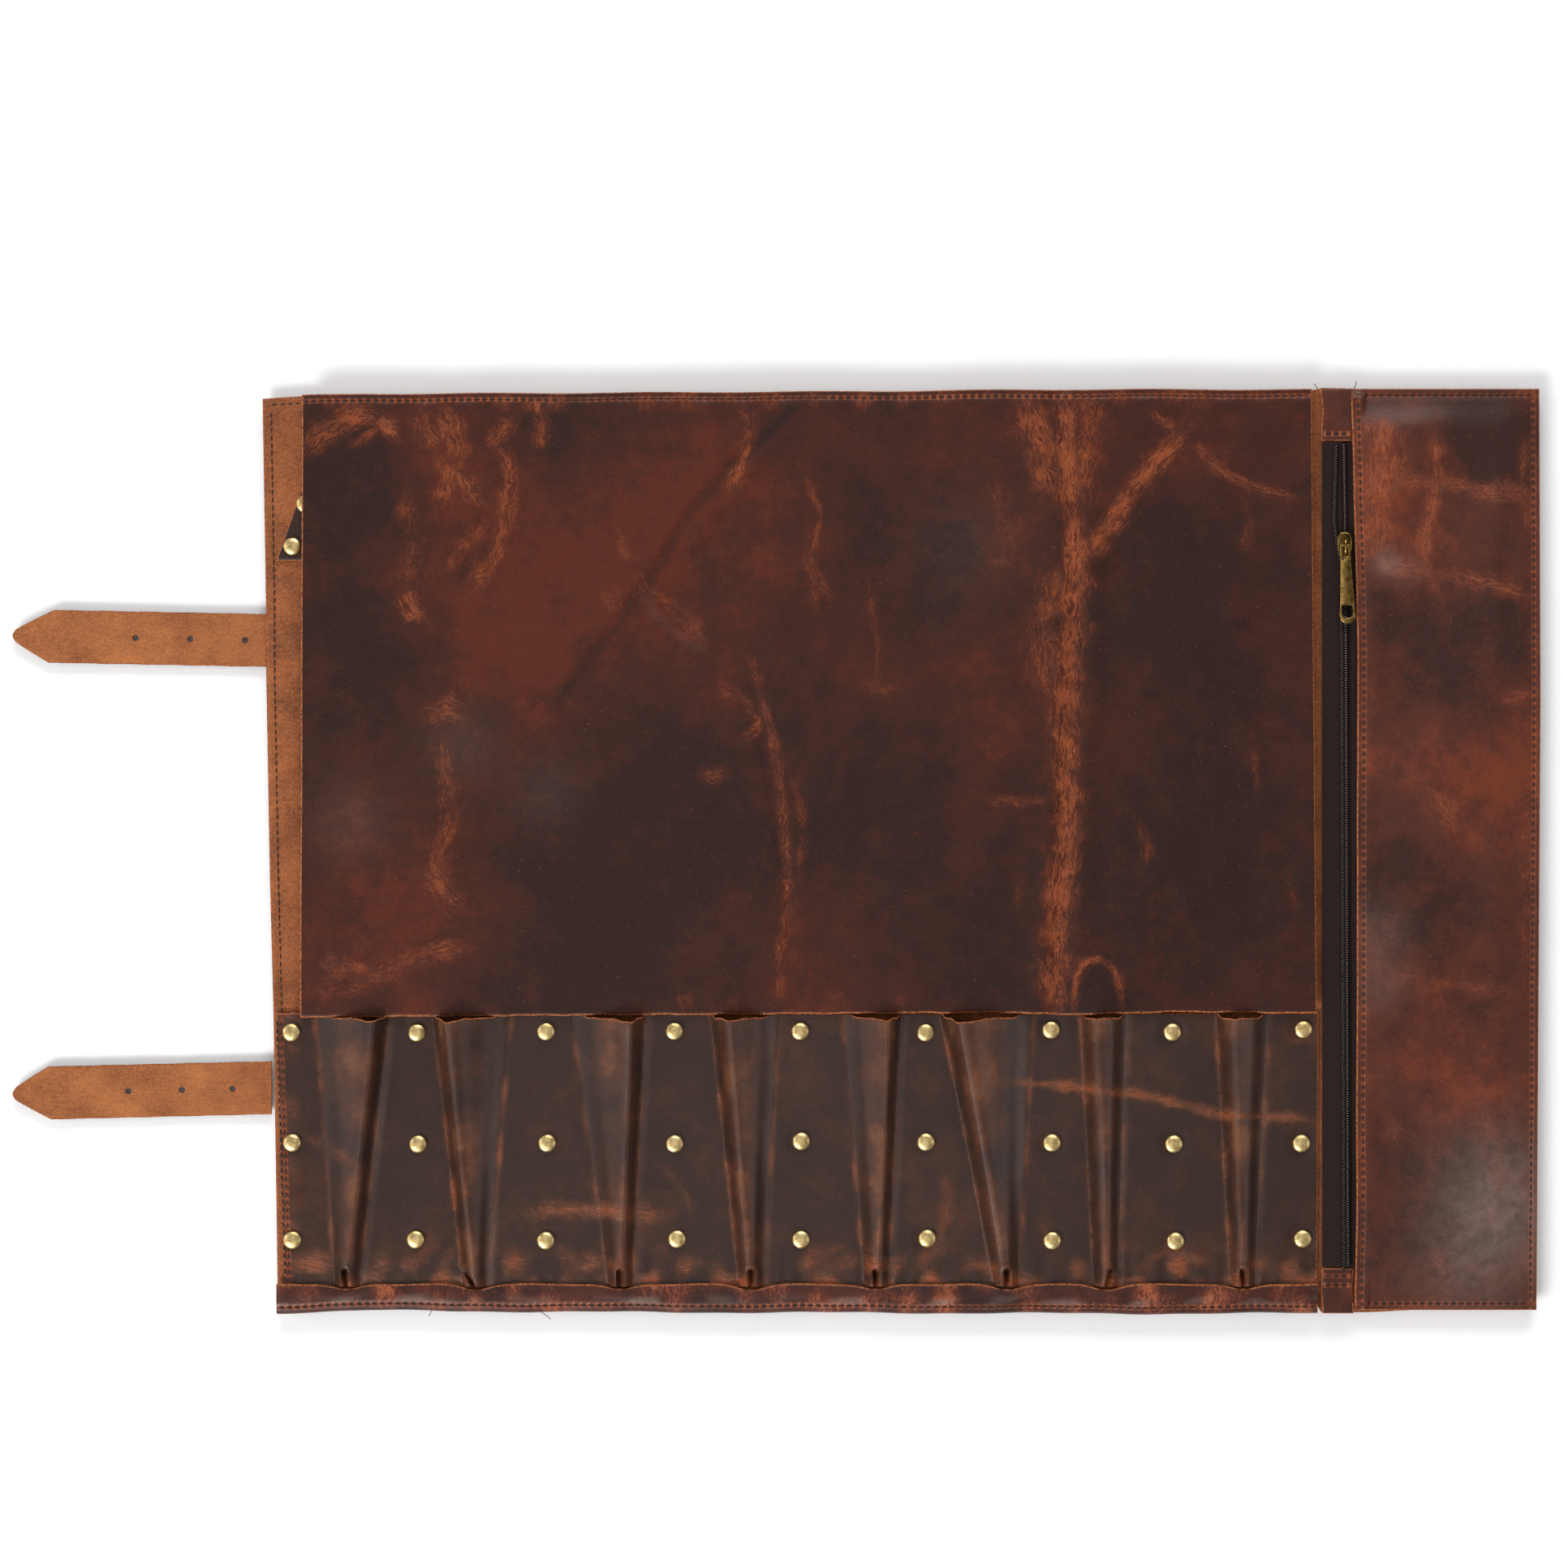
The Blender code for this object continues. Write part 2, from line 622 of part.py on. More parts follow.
def add_pull():
    """The pull tab: a plate that widens to a round end, with a window round the hoop and one at its tail."""
    head_y = SLIDER_Y + PULL_BAR
    tail_y = SLIDER_Y - PULL_LENGTH + PULL_TAIL_HALF
    outline = [(ZIP_X + PULL_HEAD_HALF, head_y), (ZIP_X - PULL_HEAD_HALF, head_y)]
    outline += arc(ZIP_X, tail_y, PULL_TAIL_HALF, 180, 360, 12)
    low = PULL_AXIS_Z - PULL_THICK / 2
    obj = add_object("zip_pull", prism(outline, low, low + PULL_THICK), BRASS)
    hoop_window = rectangle(
        ZIP_X - HOOP_WIDTH / 2 - 2 * GAP,
        ZIP_X + HOOP_WIDTH / 2 + 2 * GAP,
        SLIDER_Y - HOOP_REACH - 3 * GAP,
        SLIDER_Y - PULL_BAR,
    )
    tail_r = PULL_TAIL_HALF - 1.5 * MM
    tail_window = arc(ZIP_X, tail_y, tail_r, 180, 360, 10)
    tail_window += [(ZIP_X + tail_r, tail_y + 1.8 * MM), (ZIP_X - tail_r, tail_y + 1.8 * MM)]
    for name, window in (("pull_hoop_window", hoop_window), ("pull_tail_window", tail_window)):
        boolean(obj, cutter(name, prism(window, SLIDER_TOP_Z, low + 2 * PULL_THICK)), "DIFFERENCE")
    set_origin(obj, (ZIP_X, SLIDER_Y, PULL_AXIS_Z))


def front_lift(i, j, last_x, last_y):
    """How far a grid point of the pocket's front stands above its sewn edges."""
    if i == last_x or j in (0, last_y):
        return 0.0
    ring = min(i, j, last_x - i, last_y - j)
    return FRONT_OVER_TAPE + FRONT_CROWN * ring / 2


def add_zip_pocket_front():
    """The zip pocket's front: a sheet sewn down on three sides and crowned over the pocket's room."""
    y0, y1 = -HALF_DEPTH, HALF_DEPTH
    xs = [FRONT_LEFT, FRONT_LEFT + FRONT_SEAM, FRONT_LEFT + 3 * FRONT_SEAM]
    xs += [RIGHT_EDGE - 3 * FRONT_SEAM, RIGHT_EDGE - FRONT_SEAM, RIGHT_EDGE]
    ys = [y0, y0 + FRONT_SEAM, y0 + 3 * FRONT_SEAM, y1 - 3 * FRONT_SEAM, y1 - FRONT_SEAM, y1]
    last_x, last_y = len(xs) - 1, len(ys) - 1
    sheets = []
    for base in FRONT_Z:
        rows = []
        for j, y in enumerate(ys):
            rows.append([(x, y, base + front_lift(i, j, last_x, last_y)) for i, x in enumerate(xs)])
        sheets.append(rows)
    add_object("zip_pocket_front", grid_solid(*sheets), GRAIN)


def hang_on_folds():
    """Parents each panel's pieces to an empty on the fold that carries it."""
    pieces = [obj for obj in bpy.data.objects if not obj.hide_render]
    empties = []
    for number, x in enumerate(FOLD_LINES, 1):
        empty = bpy.data.objects.new(f"fold_{number}", None)
        bpy.context.scene.collection.objects.link(empty)
        empty.location = (x, 0, FOLD_AXIS_Z)
        empties.append(empty)
    for obj in pieces:
        middle = sum(vert.co.x for vert in obj.data.vertices) / len(obj.data.vertices) + obj.location.x
        panel = sum(middle > x for x in FOLD_LINES)
        if panel:
            obj.parent = empties[panel - 1]
            obj.location -= empties[panel - 1].location
    for before, after in list(zip(empties, empties[1:]))[::-1]:
        after.parent = before
        after.location -= before.location


def build():
    clear_scene()
    places = rivet_places()
    add_backing_panels(places)
    add_pocket_panels(places)
    add_rivets(places)
    add_sleeve()
    add_flap_panels()
    add_straps()
    add_buckles()
    add_zip()
    add_slider()
    add_pull()
    add_zip_pocket_front()
    hang_on_folds()


build()
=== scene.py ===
"""Looks of the open leather pencil roll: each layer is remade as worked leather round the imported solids.

Everything is in metres in the row frame. MM turns a number of millimetres into metres.
"""

import json
import math

import bmesh
import bpy
import numpy as np
from mathutils import Matrix, Vector

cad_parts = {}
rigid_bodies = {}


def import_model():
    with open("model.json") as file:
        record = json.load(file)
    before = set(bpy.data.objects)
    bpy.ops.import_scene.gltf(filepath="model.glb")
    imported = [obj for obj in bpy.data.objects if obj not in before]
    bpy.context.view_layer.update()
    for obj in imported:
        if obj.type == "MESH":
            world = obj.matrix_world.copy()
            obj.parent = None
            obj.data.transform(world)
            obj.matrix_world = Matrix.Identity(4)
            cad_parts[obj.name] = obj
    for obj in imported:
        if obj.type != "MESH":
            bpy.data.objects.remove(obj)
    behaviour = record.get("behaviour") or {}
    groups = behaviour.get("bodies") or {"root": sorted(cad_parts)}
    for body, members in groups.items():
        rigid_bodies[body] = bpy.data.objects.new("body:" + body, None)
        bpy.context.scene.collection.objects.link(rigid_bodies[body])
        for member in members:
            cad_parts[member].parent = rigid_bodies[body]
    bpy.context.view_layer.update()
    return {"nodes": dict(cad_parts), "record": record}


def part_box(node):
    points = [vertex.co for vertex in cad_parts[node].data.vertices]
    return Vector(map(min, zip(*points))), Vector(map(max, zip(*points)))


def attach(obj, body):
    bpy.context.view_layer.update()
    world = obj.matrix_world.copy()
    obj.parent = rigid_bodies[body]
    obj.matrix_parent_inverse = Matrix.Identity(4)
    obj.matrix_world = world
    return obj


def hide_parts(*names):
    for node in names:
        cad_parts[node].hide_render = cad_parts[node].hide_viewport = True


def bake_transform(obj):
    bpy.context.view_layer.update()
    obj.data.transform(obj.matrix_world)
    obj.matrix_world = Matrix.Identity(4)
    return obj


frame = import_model()

MM = 0.001

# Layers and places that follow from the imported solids
BACKING_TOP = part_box("backing_panel_1")[0][2] + 2.0 * MM
BACKING_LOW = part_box("backing_panel_5")[0][2]
POCKET_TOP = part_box("inner_sleeve")[1][2]
FLAP_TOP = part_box("flap_panel_1")[1][2]
HEM_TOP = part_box("backing_panel_1")[1][2]
LEATHER = 1.8 * MM
FOLDS = [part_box(f"backing_panel_{i}")[0][0] - 0.15 * MM for i in (2, 3, 4, 5)]


def srgb(red, green, blue):
    """Linear RGBA of an 8-bit screen colour."""
    parts = [c / 255 for c in (red, green, blue)]
    return (*[p / 12.92 if p < 0.04045 else ((p + 0.055) / 1.055) ** 2.4 for p in parts], 1.0)


def smooth(x, low, high):
    """Smoothstep of x from low to high, for numbers and arrays. low may be above high."""
    t = np.clip((x - low) / (high - low), 0.0, 1.0)
    return t * t * (3 - 2 * t)


def bell(gap, width):
    """1 at no gap, falling to 0 a few widths away."""
    return np.exp(-((gap / width) ** 2))


def waves(x, y, size, seed, count=10):
    """Smooth undulation between about -1 and 1 with features near size."""
    rng = np.random.default_rng(seed)
    total = 0.0
    for _ in range(count):
        angle = rng.uniform(0, math.pi)
        wave = size * rng.uniform(0.7, 1.8)
        phase = rng.uniform(0, 2 * math.pi)
        total = total + np.sin((x * math.cos(angle) + y * math.sin(angle)) * 2 * math.pi / wave + phase)
    return total / math.sqrt(count * 2)


# ---------------------------------------------------------------- materials


class Graph:
    """Short names for the shader nodes of one material."""

    def __init__(self, name, metallic=0.0, sheen=0.0, specular=0.5):
        self.material = bpy.data.materials.new(name)
        self.material.use_nodes = True
        self.tree = self.material.node_tree
        self.shader = self.tree.nodes["Principled BSDF"]
        self.shader.inputs["Metallic"].default_value = metallic
        self.shader.inputs["Specular IOR Level"].default_value = specular
        self.shader.inputs["Sheen Weight"].default_value = sheen
        self.shader.inputs["Sheen Roughness"].default_value = 0.6

    def node(self, kind, out=0, settings=None, **inputs):
        made = self.tree.nodes.new("ShaderNode" + kind)
        for key, value in (settings or {}).items():
            setattr(made, key, value)
        for key, value in inputs.items():
            socket = made.inputs[int(key[1:])] if key[0] == "i" and key[1:].isdigit() else made.inputs[key]
            if isinstance(value, bpy.types.NodeSocket):
                self.tree.links.new(value, socket)
            else:
                socket.default_value = value
        return made.outputs[out]

    def rest(self):
        """The surface's place at rest, in millimetres."""
        place = self.node("Attribute", 1, {"attribute_name": "rest"})
        return self.node("VectorMath", 0, {"operation": "SCALE"}, i0=place, Scale=1000.0)

    def field(self, name, out):
        """A mesh attribute: output 0 is its colour, 1 its vector, 2 its number and 3 its alpha."""
        return self.node("Attribute", out, {"attribute_name": name})

    def split(self, vector):
        """The three numbers of a vector."""
        return self.node("SeparateXYZ", 0, None, i0=vector).node.outputs

    def math(self, operation, a, b=0.0, clamp=False):
        return self.node("Math", 0, {"operation": operation, "use_clamp": clamp}, i0=a, i1=b)

    def add(self, a, b, clamp=False):
        return self.math("ADD", a, b, clamp)

    def less(self, a, b, clamp=False):
        return self.math("SUBTRACT", a, b, clamp)

    def times(self, a, b, clamp=False):
        return self.math("MULTIPLY", a, b, clamp)

    def swing(self, field, amount):
        """A number around zero from a noise field around a half."""
        return self.times(self.less(field, 0.5), amount)

    def span(self, value, low, high, to_low=0.0, to_high=1.0):
        """Smoothly maps low..high to to_low..to_high."""
        ports = {"i1": low, "i2": high, "i3": to_low, "i4": to_high}
        return self.node("MapRange", 0, {"interpolation_type": "SMOOTHSTEP"}, i0=value, **ports)

    def mix(self, share, a, b):
        return self.node("Mix", 2, {"data_type": "RGBA", "blend_type": "MIX"}, i0=share, i6=a, i7=b)

    def stretch(self, vector, scale):
        return self.node("VectorMath", 0, {"operation": "MULTIPLY"}, i0=vector, i1=scale)

    def noise(self, vector, scale, detail, rough, warp=0.0):
        ports = {"Scale": scale, "Detail": detail, "Roughness": rough, "Distortion": warp}
        return self.node("TexNoise", 0, None, Vector=vector, **ports)

    def finish(self, colour, roughness, height=None, depth=0.1, strength=1.0):
        """Links colour and roughness, and a bump of the given depth in millimetres."""
        for name, value in (("Base Color", colour), ("Roughness", roughness)):
            if isinstance(value, bpy.types.NodeSocket):
                self.tree.links.new(value, self.shader.inputs[name])
            else:
                self.shader.inputs[name].default_value = value
        if height is not None:
            bump = self.node("Bump", 0, None, Height=height, Strength=strength, Distance=depth * MM)
            self.tree.links.new(bump, self.shader.inputs["Normal"])
        return self.material


def grain_leather(name, colours, rough=0.43, gloss=0.34):
    """Waxed pull-up leather: a dark mottled grain that goes orange in fibrous lines where it is creased.

    colours are dark, middle, red and worn. The mesh carries "tone" (0 dark to 1 red), a painted sheen
    (0 to 1: a grey haze painted into the colour where glossy reflections would show) and two vectors:
    "strand" is how far a point lies across and along its nearest crease, in mm, and how strong that crease
    is, and "seam" says the same of its nearest seam.
    """
    dark, middle, red, worn = [srgb(*colour) for colour in colours]
    g = Graph(name, specular=gloss)
    place = g.rest()
    cloud = g.noise(place, 0.035, 5, 0.62)
    grit = g.noise(place, 0.55, 4, 0.7)
    tone = g.field("tone", 2)
    tone = g.add(tone, g.swing(cloud, 1.7))
    mottle = g.noise(place, 0.15, 6, 0.7, 0.5)
    tone = g.add(tone, g.swing(mottle, 0.75))
    tone = g.add(tone, g.swing(grit, 0.36))
    base = g.mix(g.span(tone, 0.0, 0.5), dark, middle)
    base = g.mix(g.span(tone, 0.45, 1.05), base, red)

    split = g.split(g.field("strand", 1))
    sway = g.less(g.noise(place, 0.11, 3, 0.6), 0.5)
    across = g.add(split[0], g.times(sway, 9.0))
    lines = []
    for pitch, length, seed in ((0.62, 0.06, 0.0), (0.3, 0.03, 9.0)):
        lane_x, lane_y = g.times(across, pitch), g.times(split[1], length)
        lane = g.node("CombineXYZ", 0, None, i0=lane_x, i1=lane_y, i2=seed)
        strand = g.noise(lane, 1.0, 3, 0.6)
        line = g.times(g.math("ABSOLUTE", g.less(strand, 0.5)), 11.0)
        lines.append(g.less(1.0, line, True))
    line = g.math("MAXIMUM", lines[0], g.times(lines[1], 0.7))
    patchy = g.span(g.noise(place, 0.07, 3, 0.6), 0.3, 0.66, 0.55, 1.0)
    spread = g.times(split[2], patchy)
    level = g.add(g.times(line, 0.62), g.times(spread, 0.8))
    orange = g.times(g.span(level, 0.6, 1.36), g.span(spread, 0.03, 0.3))

    pores = g.node("TexVoronoi", 0, None, Vector=g.stretch(place, (0.42, 0.26, 0.3)), Scale=1.0)
    pore = g.times(g.span(pores, 0.2, 0.08), g.span(cloud, 0.42, 0.62))
    orange = g.times(orange, g.less(1.0, g.times(pore, 0.85)))
    halo = g.times(g.span(spread, 0.02, 0.85), 0.72)
    base = g.mix(halo, base, red)
    colour = g.mix(g.times(orange, 0.72), base, worn)
    fleck = g.times(g.span(g.noise(place, 0.75, 3, 0.6), 0.64, 0.74), 0.3)
    colour = g.mix(fleck, colour, worn)
    colour = g.mix(g.times(pore, 0.5), colour, dark)

    # Painted sheen: a grey haze painted into the colour where glossy reflections would show, patchy with the
    # mottle.
    painted_sheen = g.times(g.field("painted_sheen", 2), g.span(mottle, 0.3, 0.7, 0.55, 1.0))
    colour = g.mix(painted_sheen, colour, srgb(172, 150, 141))

    fine = g.noise(place, 1.9, 3, 0.6)
    height = g.add(g.times(fine, 0.5), g.times(grit, 0.6))
    height = g.add(height, g.times(orange, 0.6))
    height = g.less(height, g.times(pore, 0.6))

    split = g.split(g.field("seam", 1))
    off = g.math("ABSOLUTE", split[0])
    band = g.span(off, 1.7, 0.6)
    along = g.math("FRACT", g.math("DIVIDE", split[1], STITCH_PITCH))
    rung = g.span(g.math("ABSOLUTE", g.less(along, 0.5)), 0.2, 0.42)
    rub = g.add(g.times(rung, g.span(cloud, 0.3, 0.65, 0.15, 0.6)), g.times(grit, 0.35))
    rub = g.times(g.times(band, rub), split[2], True)
    colour = g.mix(rub, colour, worn)
    height = g.less(height, g.times(g.span(off, 1.2, 0.2), 0.8))

    rough_map = g.add(rough, g.swing(grit, 0.22))
    rough_map = g.add(rough_map, g.times(orange, 0.1), True)
    return g.finish(colour, rough_map, height, 0.16, 0.75)


def suede_leather(name, dark, light):
    """Flesh side: a short matt nap with a fine speckle and cloudy shading."""
    g = Graph(name, sheen=0.25, specular=0.12)
    place = g.rest()
    cloud = g.noise(place, 0.05, 4, 0.6)
    speck = g.noise(place, 1.1, 4, 0.75)
    fibre = g.noise(g.stretch(place, (0.25, 1.3, 0.5)), 1.0, 3, 0.6)
    share = g.add(g.times(cloud, 0.7), g.times(speck, 1.15))
    share = g.add(share, g.times(fibre, 0.35))
    colour = g.mix(g.span(share, 0.72, 1.5), dark, light)
    height = g.add(speck, g.times(fibre, 0.5))
    return g.finish(colour, 0.93, height, 0.3, 0.75)


def cut_edge(name, dark, light):
    """Raw cut edge with a ragged fibre."""
    g = Graph(name, specular=0.15)
    place = g.rest()
    fray = g.noise(place, 0.8, 4, 0.7)
    return g.finish(g.mix(g.span(fray, 0.36, 0.62), dark, light), 0.9, fray, 0.2, 0.6)


def antique_brass(name, dark, bright, rough=0.26, brush=(0.2, 3.0, 1.0)):
    """Browned brass with a mottled stain and fine brushed lines."""
    g = Graph(name, metallic=1.0)
    place = g.rest()
    stain = g.noise(place, 0.5, 4, 0.65)
    lines = g.noise(g.stretch(place, brush), 1.0, 3, 0.6)
    share = g.add(g.times(stain, 0.8), g.times(lines, 0.4))
    colour = g.mix(g.span(share, 0.38, 0.68), dark, bright)
    rough_map = g.add(rough, g.swing(lines, 0.16))
    return g.finish(colour, rough_map, lines, 0.02, 0.5)


def woven_tape(name):
    """Herringbone zip tape."""
    g = Graph(name, sheen=0.1, specular=0.08)
    split = g.split(g.rest())
    lean = g.math("PINGPONG", split[0], 1.1)
    thread = g.math("PINGPONG", g.add(split[1], g.times(lean, 0.9)), 0.42)
    thread = g.math("DIVIDE", thread, 0.42)
    weave = g.span(thread, 0.15, 0.75)
    colour = g.mix(weave, srgb(17, 9, 9), srgb(46, 27, 24))
    return g.finish(colour, 0.8, weave, 0.18, 0.8)


def plain(name, colour, rough, speck=0.3, scale=1.5):
    """A small part's single finish, with a fine speckle."""
    g = Graph(name)
    grit = g.noise(g.rest(), scale, 3, 0.6)
    darker = tuple(c * (1 - speck) for c in colour[:3]) + (1.0,)
    return g.finish(g.mix(grit, darker, colour), rough, grit, 0.04, 0.5)


STITCH_PITCH = 3.8
FLAP_GRAIN = grain_leather(
    "flap_leather", ((43, 23, 18), (60, 27, 19), (84, 35, 19), (160, 82, 42)), gloss=0.24
)
FRONT_GRAIN = grain_leather("front_leather", ((52, 25, 19), (76, 35, 23), (108, 48, 26), (166, 86, 46)))
POCKET_GRAIN = grain_leather(
    "pocket_leather", ((50, 33, 27), (68, 40, 29), (104, 63, 39), (152, 72, 38)), 0.33
)
HEM_GRAIN = grain_leather("hem_leather", ((46, 24, 20), (68, 31, 23), (94, 41, 26), (176, 96, 58)), 0.33)
SUEDE = suede_leather("backing_suede", srgb(94, 47, 21), srgb(170, 99, 53))
STRAP_SUEDE = suede_leather("strap_suede", srgb(116, 62, 30), srgb(184, 112, 60))
EDGE = cut_edge("leather_edge", srgb(104, 54, 32), srgb(182, 112, 70))
BRASS = antique_brass("cap_brass", srgb(184, 148, 86), srgb(240, 212, 150), 0.4)
OLD_BRASS = antique_brass("slider_brass", srgb(40, 29, 18), srgb(112, 86, 48), 0.28)
PULL_BRASS = antique_brass("pull_brass", srgb(92, 68, 34), srgb(172, 138, 76), 0.26, (0.6, 0.05, 1.0))
TAPE = woven_tape("zip_tape")
COIL = plain("zip_coil", srgb(30, 18, 16), 0.22)
THREAD = plain("thread", srgb(44, 24, 17), 0.75, 0.5, 3.0)


# ---------------------------------------------------------------- meshes


def spread_attribute(mesh, name, kind, values):
    layer = mesh.attributes.new(name, kind, "POINT")
    key = {"FLOAT": "value", "FLOAT_VECTOR": "vector", "FLOAT_COLOR": "color"}[kind]
    layer.data.foreach_set(key, np.ascontiguousarray(values, dtype=np.float32).ravel())


def keep_rest(obj):
    """Stores where each point lies at rest, which the materials read."""
    mesh = obj.data
    points = np.empty(len(mesh.vertices) * 3, dtype=np.float32)
    mesh.vertices.foreach_get("co", points)
    points = points.reshape(-1, 3)
    turn = np.array(obj.matrix_world.to_3x3())
    points = points @ turn.T + np.array(obj.matrix_world.translation)
    spread_attribute(mesh, "rest", "FLOAT_VECTOR", points)


def make_object(name, vertices, faces, materials, slots=None, sharp=60):
    mesh = bpy.data.meshes.new(name)
    mesh.from_pydata(vertices, [], faces)
    for material in materials:
        mesh.materials.append(material)
    if slots is not None:
        mesh.polygons.foreach_set("material_index", slots)
    mesh.shade_smooth()
    mesh.set_sharp_from_angle(angle=math.radians(sharp))
    obj = bpy.data.objects.new(name, mesh)
    bpy.context.scene.collection.objects.link(obj)
    return obj


def grid_faces(rows, columns, start=0, flip=False):
    r, c = np.meshgrid(np.arange(rows - 1), np.arange(columns - 1), indexing="ij")
    first = (start + r * columns + c).ravel()
    quads = np.stack([first, first + 1, first + 1 + columns, first + columns], axis=1)
    return quads[:, ::-1] if flip else quads


def band(a, b, sides):
    """Faces between two rings of points that start at a and b."""
    return [(a + k, a + (k + 1) % sides, b + (k + 1) % sides, b + k) for k in range(sides)]


def caps(first, last, sides):
    """The end faces of a stack of rings of points."""
    return [tuple(range(first, first + sides))[::-1], tuple(range(last, last + sides))]


def heights(x, y, z):
    """A grid of points from grids of x, y and z."""
    return np.stack(np.broadcast_arrays(x, y, z), axis=-1)


def slab(name, over, under, materials, rims=(0, 0, 0, 0), tone=None, worn=None, seam=None, sharp=60):
    """A closed sheet between two grids of points. Materials are for the top, the underside and the cut edge.

    rims says how many rings of top cells count as cut edge at the first column, last column, first row and
    last row.
    """
    rows, columns = over.shape[:2]
    count = rows * columns
    points = np.concatenate([over.reshape(-1, 3), under.reshape(-1, 3)])
    ring = np.concatenate(
        [
            np.arange(columns),
            np.arange(1, rows) * columns + columns - 1,
            (rows - 1) * columns + np.arange(columns - 2, -1, -1),
            np.arange(rows - 2, 0, -1) * columns,
        ]
    )
    after = np.roll(ring, -1)
    walls = np.stack([ring, ring + count, after + count, after], axis=1)
    upper = grid_faces(rows, columns)
    lower = grid_faces(rows, columns, count, True)
    faces = np.concatenate([upper, lower, walls])
    r, c = np.meshgrid(np.arange(rows - 1), np.arange(columns - 1), indexing="ij")
    left, right, near, far = rims
    outer = (c < left) | (c >= columns - 1 - right) | (r < near) | (r >= rows - 1 - far)
    top, underside, cut = 0, 1, 2
    slots = [np.where(outer.ravel(), cut, top), np.full(len(lower), underside), np.full(len(walls), cut)]
    slots = np.concatenate(slots).astype(np.int32)
    obj = make_object(name, points.tolist(), faces.tolist(), materials, slots, sharp)
    keep_rest(obj)
    if tone is not None:
        spread_attribute(obj.data, "tone", "FLOAT", np.tile(tone.ravel(), 2))
    for attribute, values in (("strand", worn), ("seam", seam)):
        if values is not None:
            spread_attribute(obj.data, attribute, "FLOAT_VECTOR", np.tile(values.reshape(-1, 3), (2, 1)))
    return obj


def tube(name, path, radius, material, sides=8, closed=False, flat=1.0):
    """A round bar along a path of points. flat squeezes it along Z."""
    path = np.asarray(path, float)
    count = len(path)
    ahead = np.roll(path, -1, 0) if closed else np.concatenate([path[1:], path[-1:]])
    behind = np.roll(path, 1, 0) if closed else np.concatenate([path[:1], path[:-1]])
    along = ahead - behind
    along /= np.linalg.norm(along, axis=1)[:, None]
    guide = np.array([0.0, 0.0, 1.0])
    if np.abs(along @ guide).max() > 0.9:
        guide = np.array([0.0, 1.0, 0.0]) if np.abs(along[:, 1]).max() < 0.9 else np.array([1.0, 0.0, 0.0])
    side = np.cross(along, guide)
    side /= np.linalg.norm(side, axis=1)[:, None]
    up = np.cross(side, along)
    radii = np.broadcast_to(np.asarray(radius, float), count)
    angles = np.linspace(0, 2 * math.pi, sides, endpoint=False)
    rings = (
        path[:, None]
        + radii[:, None, None] * np.cos(angles)[None, :, None] * side[:, None]
        + flat * radii[:, None, None] * np.sin(angles)[None, :, None] * up[:, None]
    )
    faces = []
    for i in range(count if closed else count - 1):
        a, b = i * sides, ((i + 1) % count) * sides
        faces += band(a, b, sides)
    if not closed:
        faces += caps(0, (count - 1) * sides, sides)
    obj = make_object(name, rings.reshape(-1, 3).tolist(), faces, [material], sharp=50)
    keep_rest(obj)
    return obj


def turned(name, profile, place, material, sides=40):
    """A closed turned piece from (radius, z) points that start and end on the axis."""
    angles = np.linspace(0, 2 * math.pi, sides, endpoint=False)
    inner = profile[1:-1]
    points = [(0, 0, profile[0][1])]
    points += [(r * math.cos(a), r * math.sin(a), z) for r, z in inner for a in angles]
    points.append((0, 0, profile[-1][1]))
    faces = [(0, 1 + (k + 1) % sides, 1 + k) for k in range(sides)]
    for i in range(len(inner) - 1):
        a, b = 1 + i * sides, 1 + (i + 1) * sides
        faces += band(a, b, sides)
    a, last = 1 + (len(inner) - 1) * sides, len(points) - 1
    faces += [(a + k, a + (k + 1) % sides, last) for k in range(sides)]
    points = [(x + place[0], y + place[1], z) for x, y, z in points]
    obj = make_object(name, points, faces, [material], sharp=40)
    keep_rest(obj)
    return obj


def plate(name, outline, holes, low, high, bevel, material, turn=0.0, about=(0, 0)):
    """A flat piece from an outline of (x, y) points with holes, with rounded edges."""
    curve = bpy.data.curves.new(name, "CURVE")
    curve.dimensions = "2D"
    curve.fill_mode = "BOTH"
    for ring in [outline, *holes]:
        spline = curve.splines.new("POLY")
        spline.points.add(len(ring) - 1)
        for point, (x, y) in zip(spline.points, ring):
            point.co = (x, y, 0, 1)
        spline.use_cyclic_u = True
    curve.extrude = (high - low) / 2 - bevel
    curve.bevel_depth = bevel
    curve.bevel_resolution = 2
    curve.offset = -bevel
    shape = bpy.data.objects.new(name + "_outline", curve)
    bpy.context.scene.collection.objects.link(shape)
    mesh = bpy.data.meshes.new_from_object(shape.evaluated_get(bpy.context.evaluated_depsgraph_get()))
    bpy.data.objects.remove(shape)
    mesh.name = name
    mesh.transform(Matrix.Translation((0, 0, (low + high) / 2)))
    if turn:
        pivot = Matrix.Translation((about[0], about[1], 0))
        mesh.transform(pivot @ Matrix.Rotation(math.radians(turn), 4, "Z") @ pivot.inverted())
    mesh.materials.clear()
    mesh.materials.append(material)
    bm = bmesh.new()
    bm.from_mesh(mesh)
    bmesh.ops.remove_doubles(bm, verts=bm.verts, dist=0.001 * MM)
    bmesh.ops.recalc_face_normals(bm, faces=bm.faces)
    bm.to_mesh(mesh)
    bm.free()
    mesh.shade_smooth()
    mesh.set_sharp_from_angle(angle=math.radians(35))
    obj = bpy.data.objects.new(name, mesh)
    bpy.context.scene.collection.objects.link(obj)
    keep_rest(obj)
    return obj


def merge(name, objects):
    """Joins objects into the first one."""
    mesh = objects[0]
    with bpy.context.temp_override(
        active_object=mesh, selected_editable_objects=objects, object=mesh, selected_objects=objects
    ):
        bpy.ops.object.join()
    mesh.name = name
    return mesh


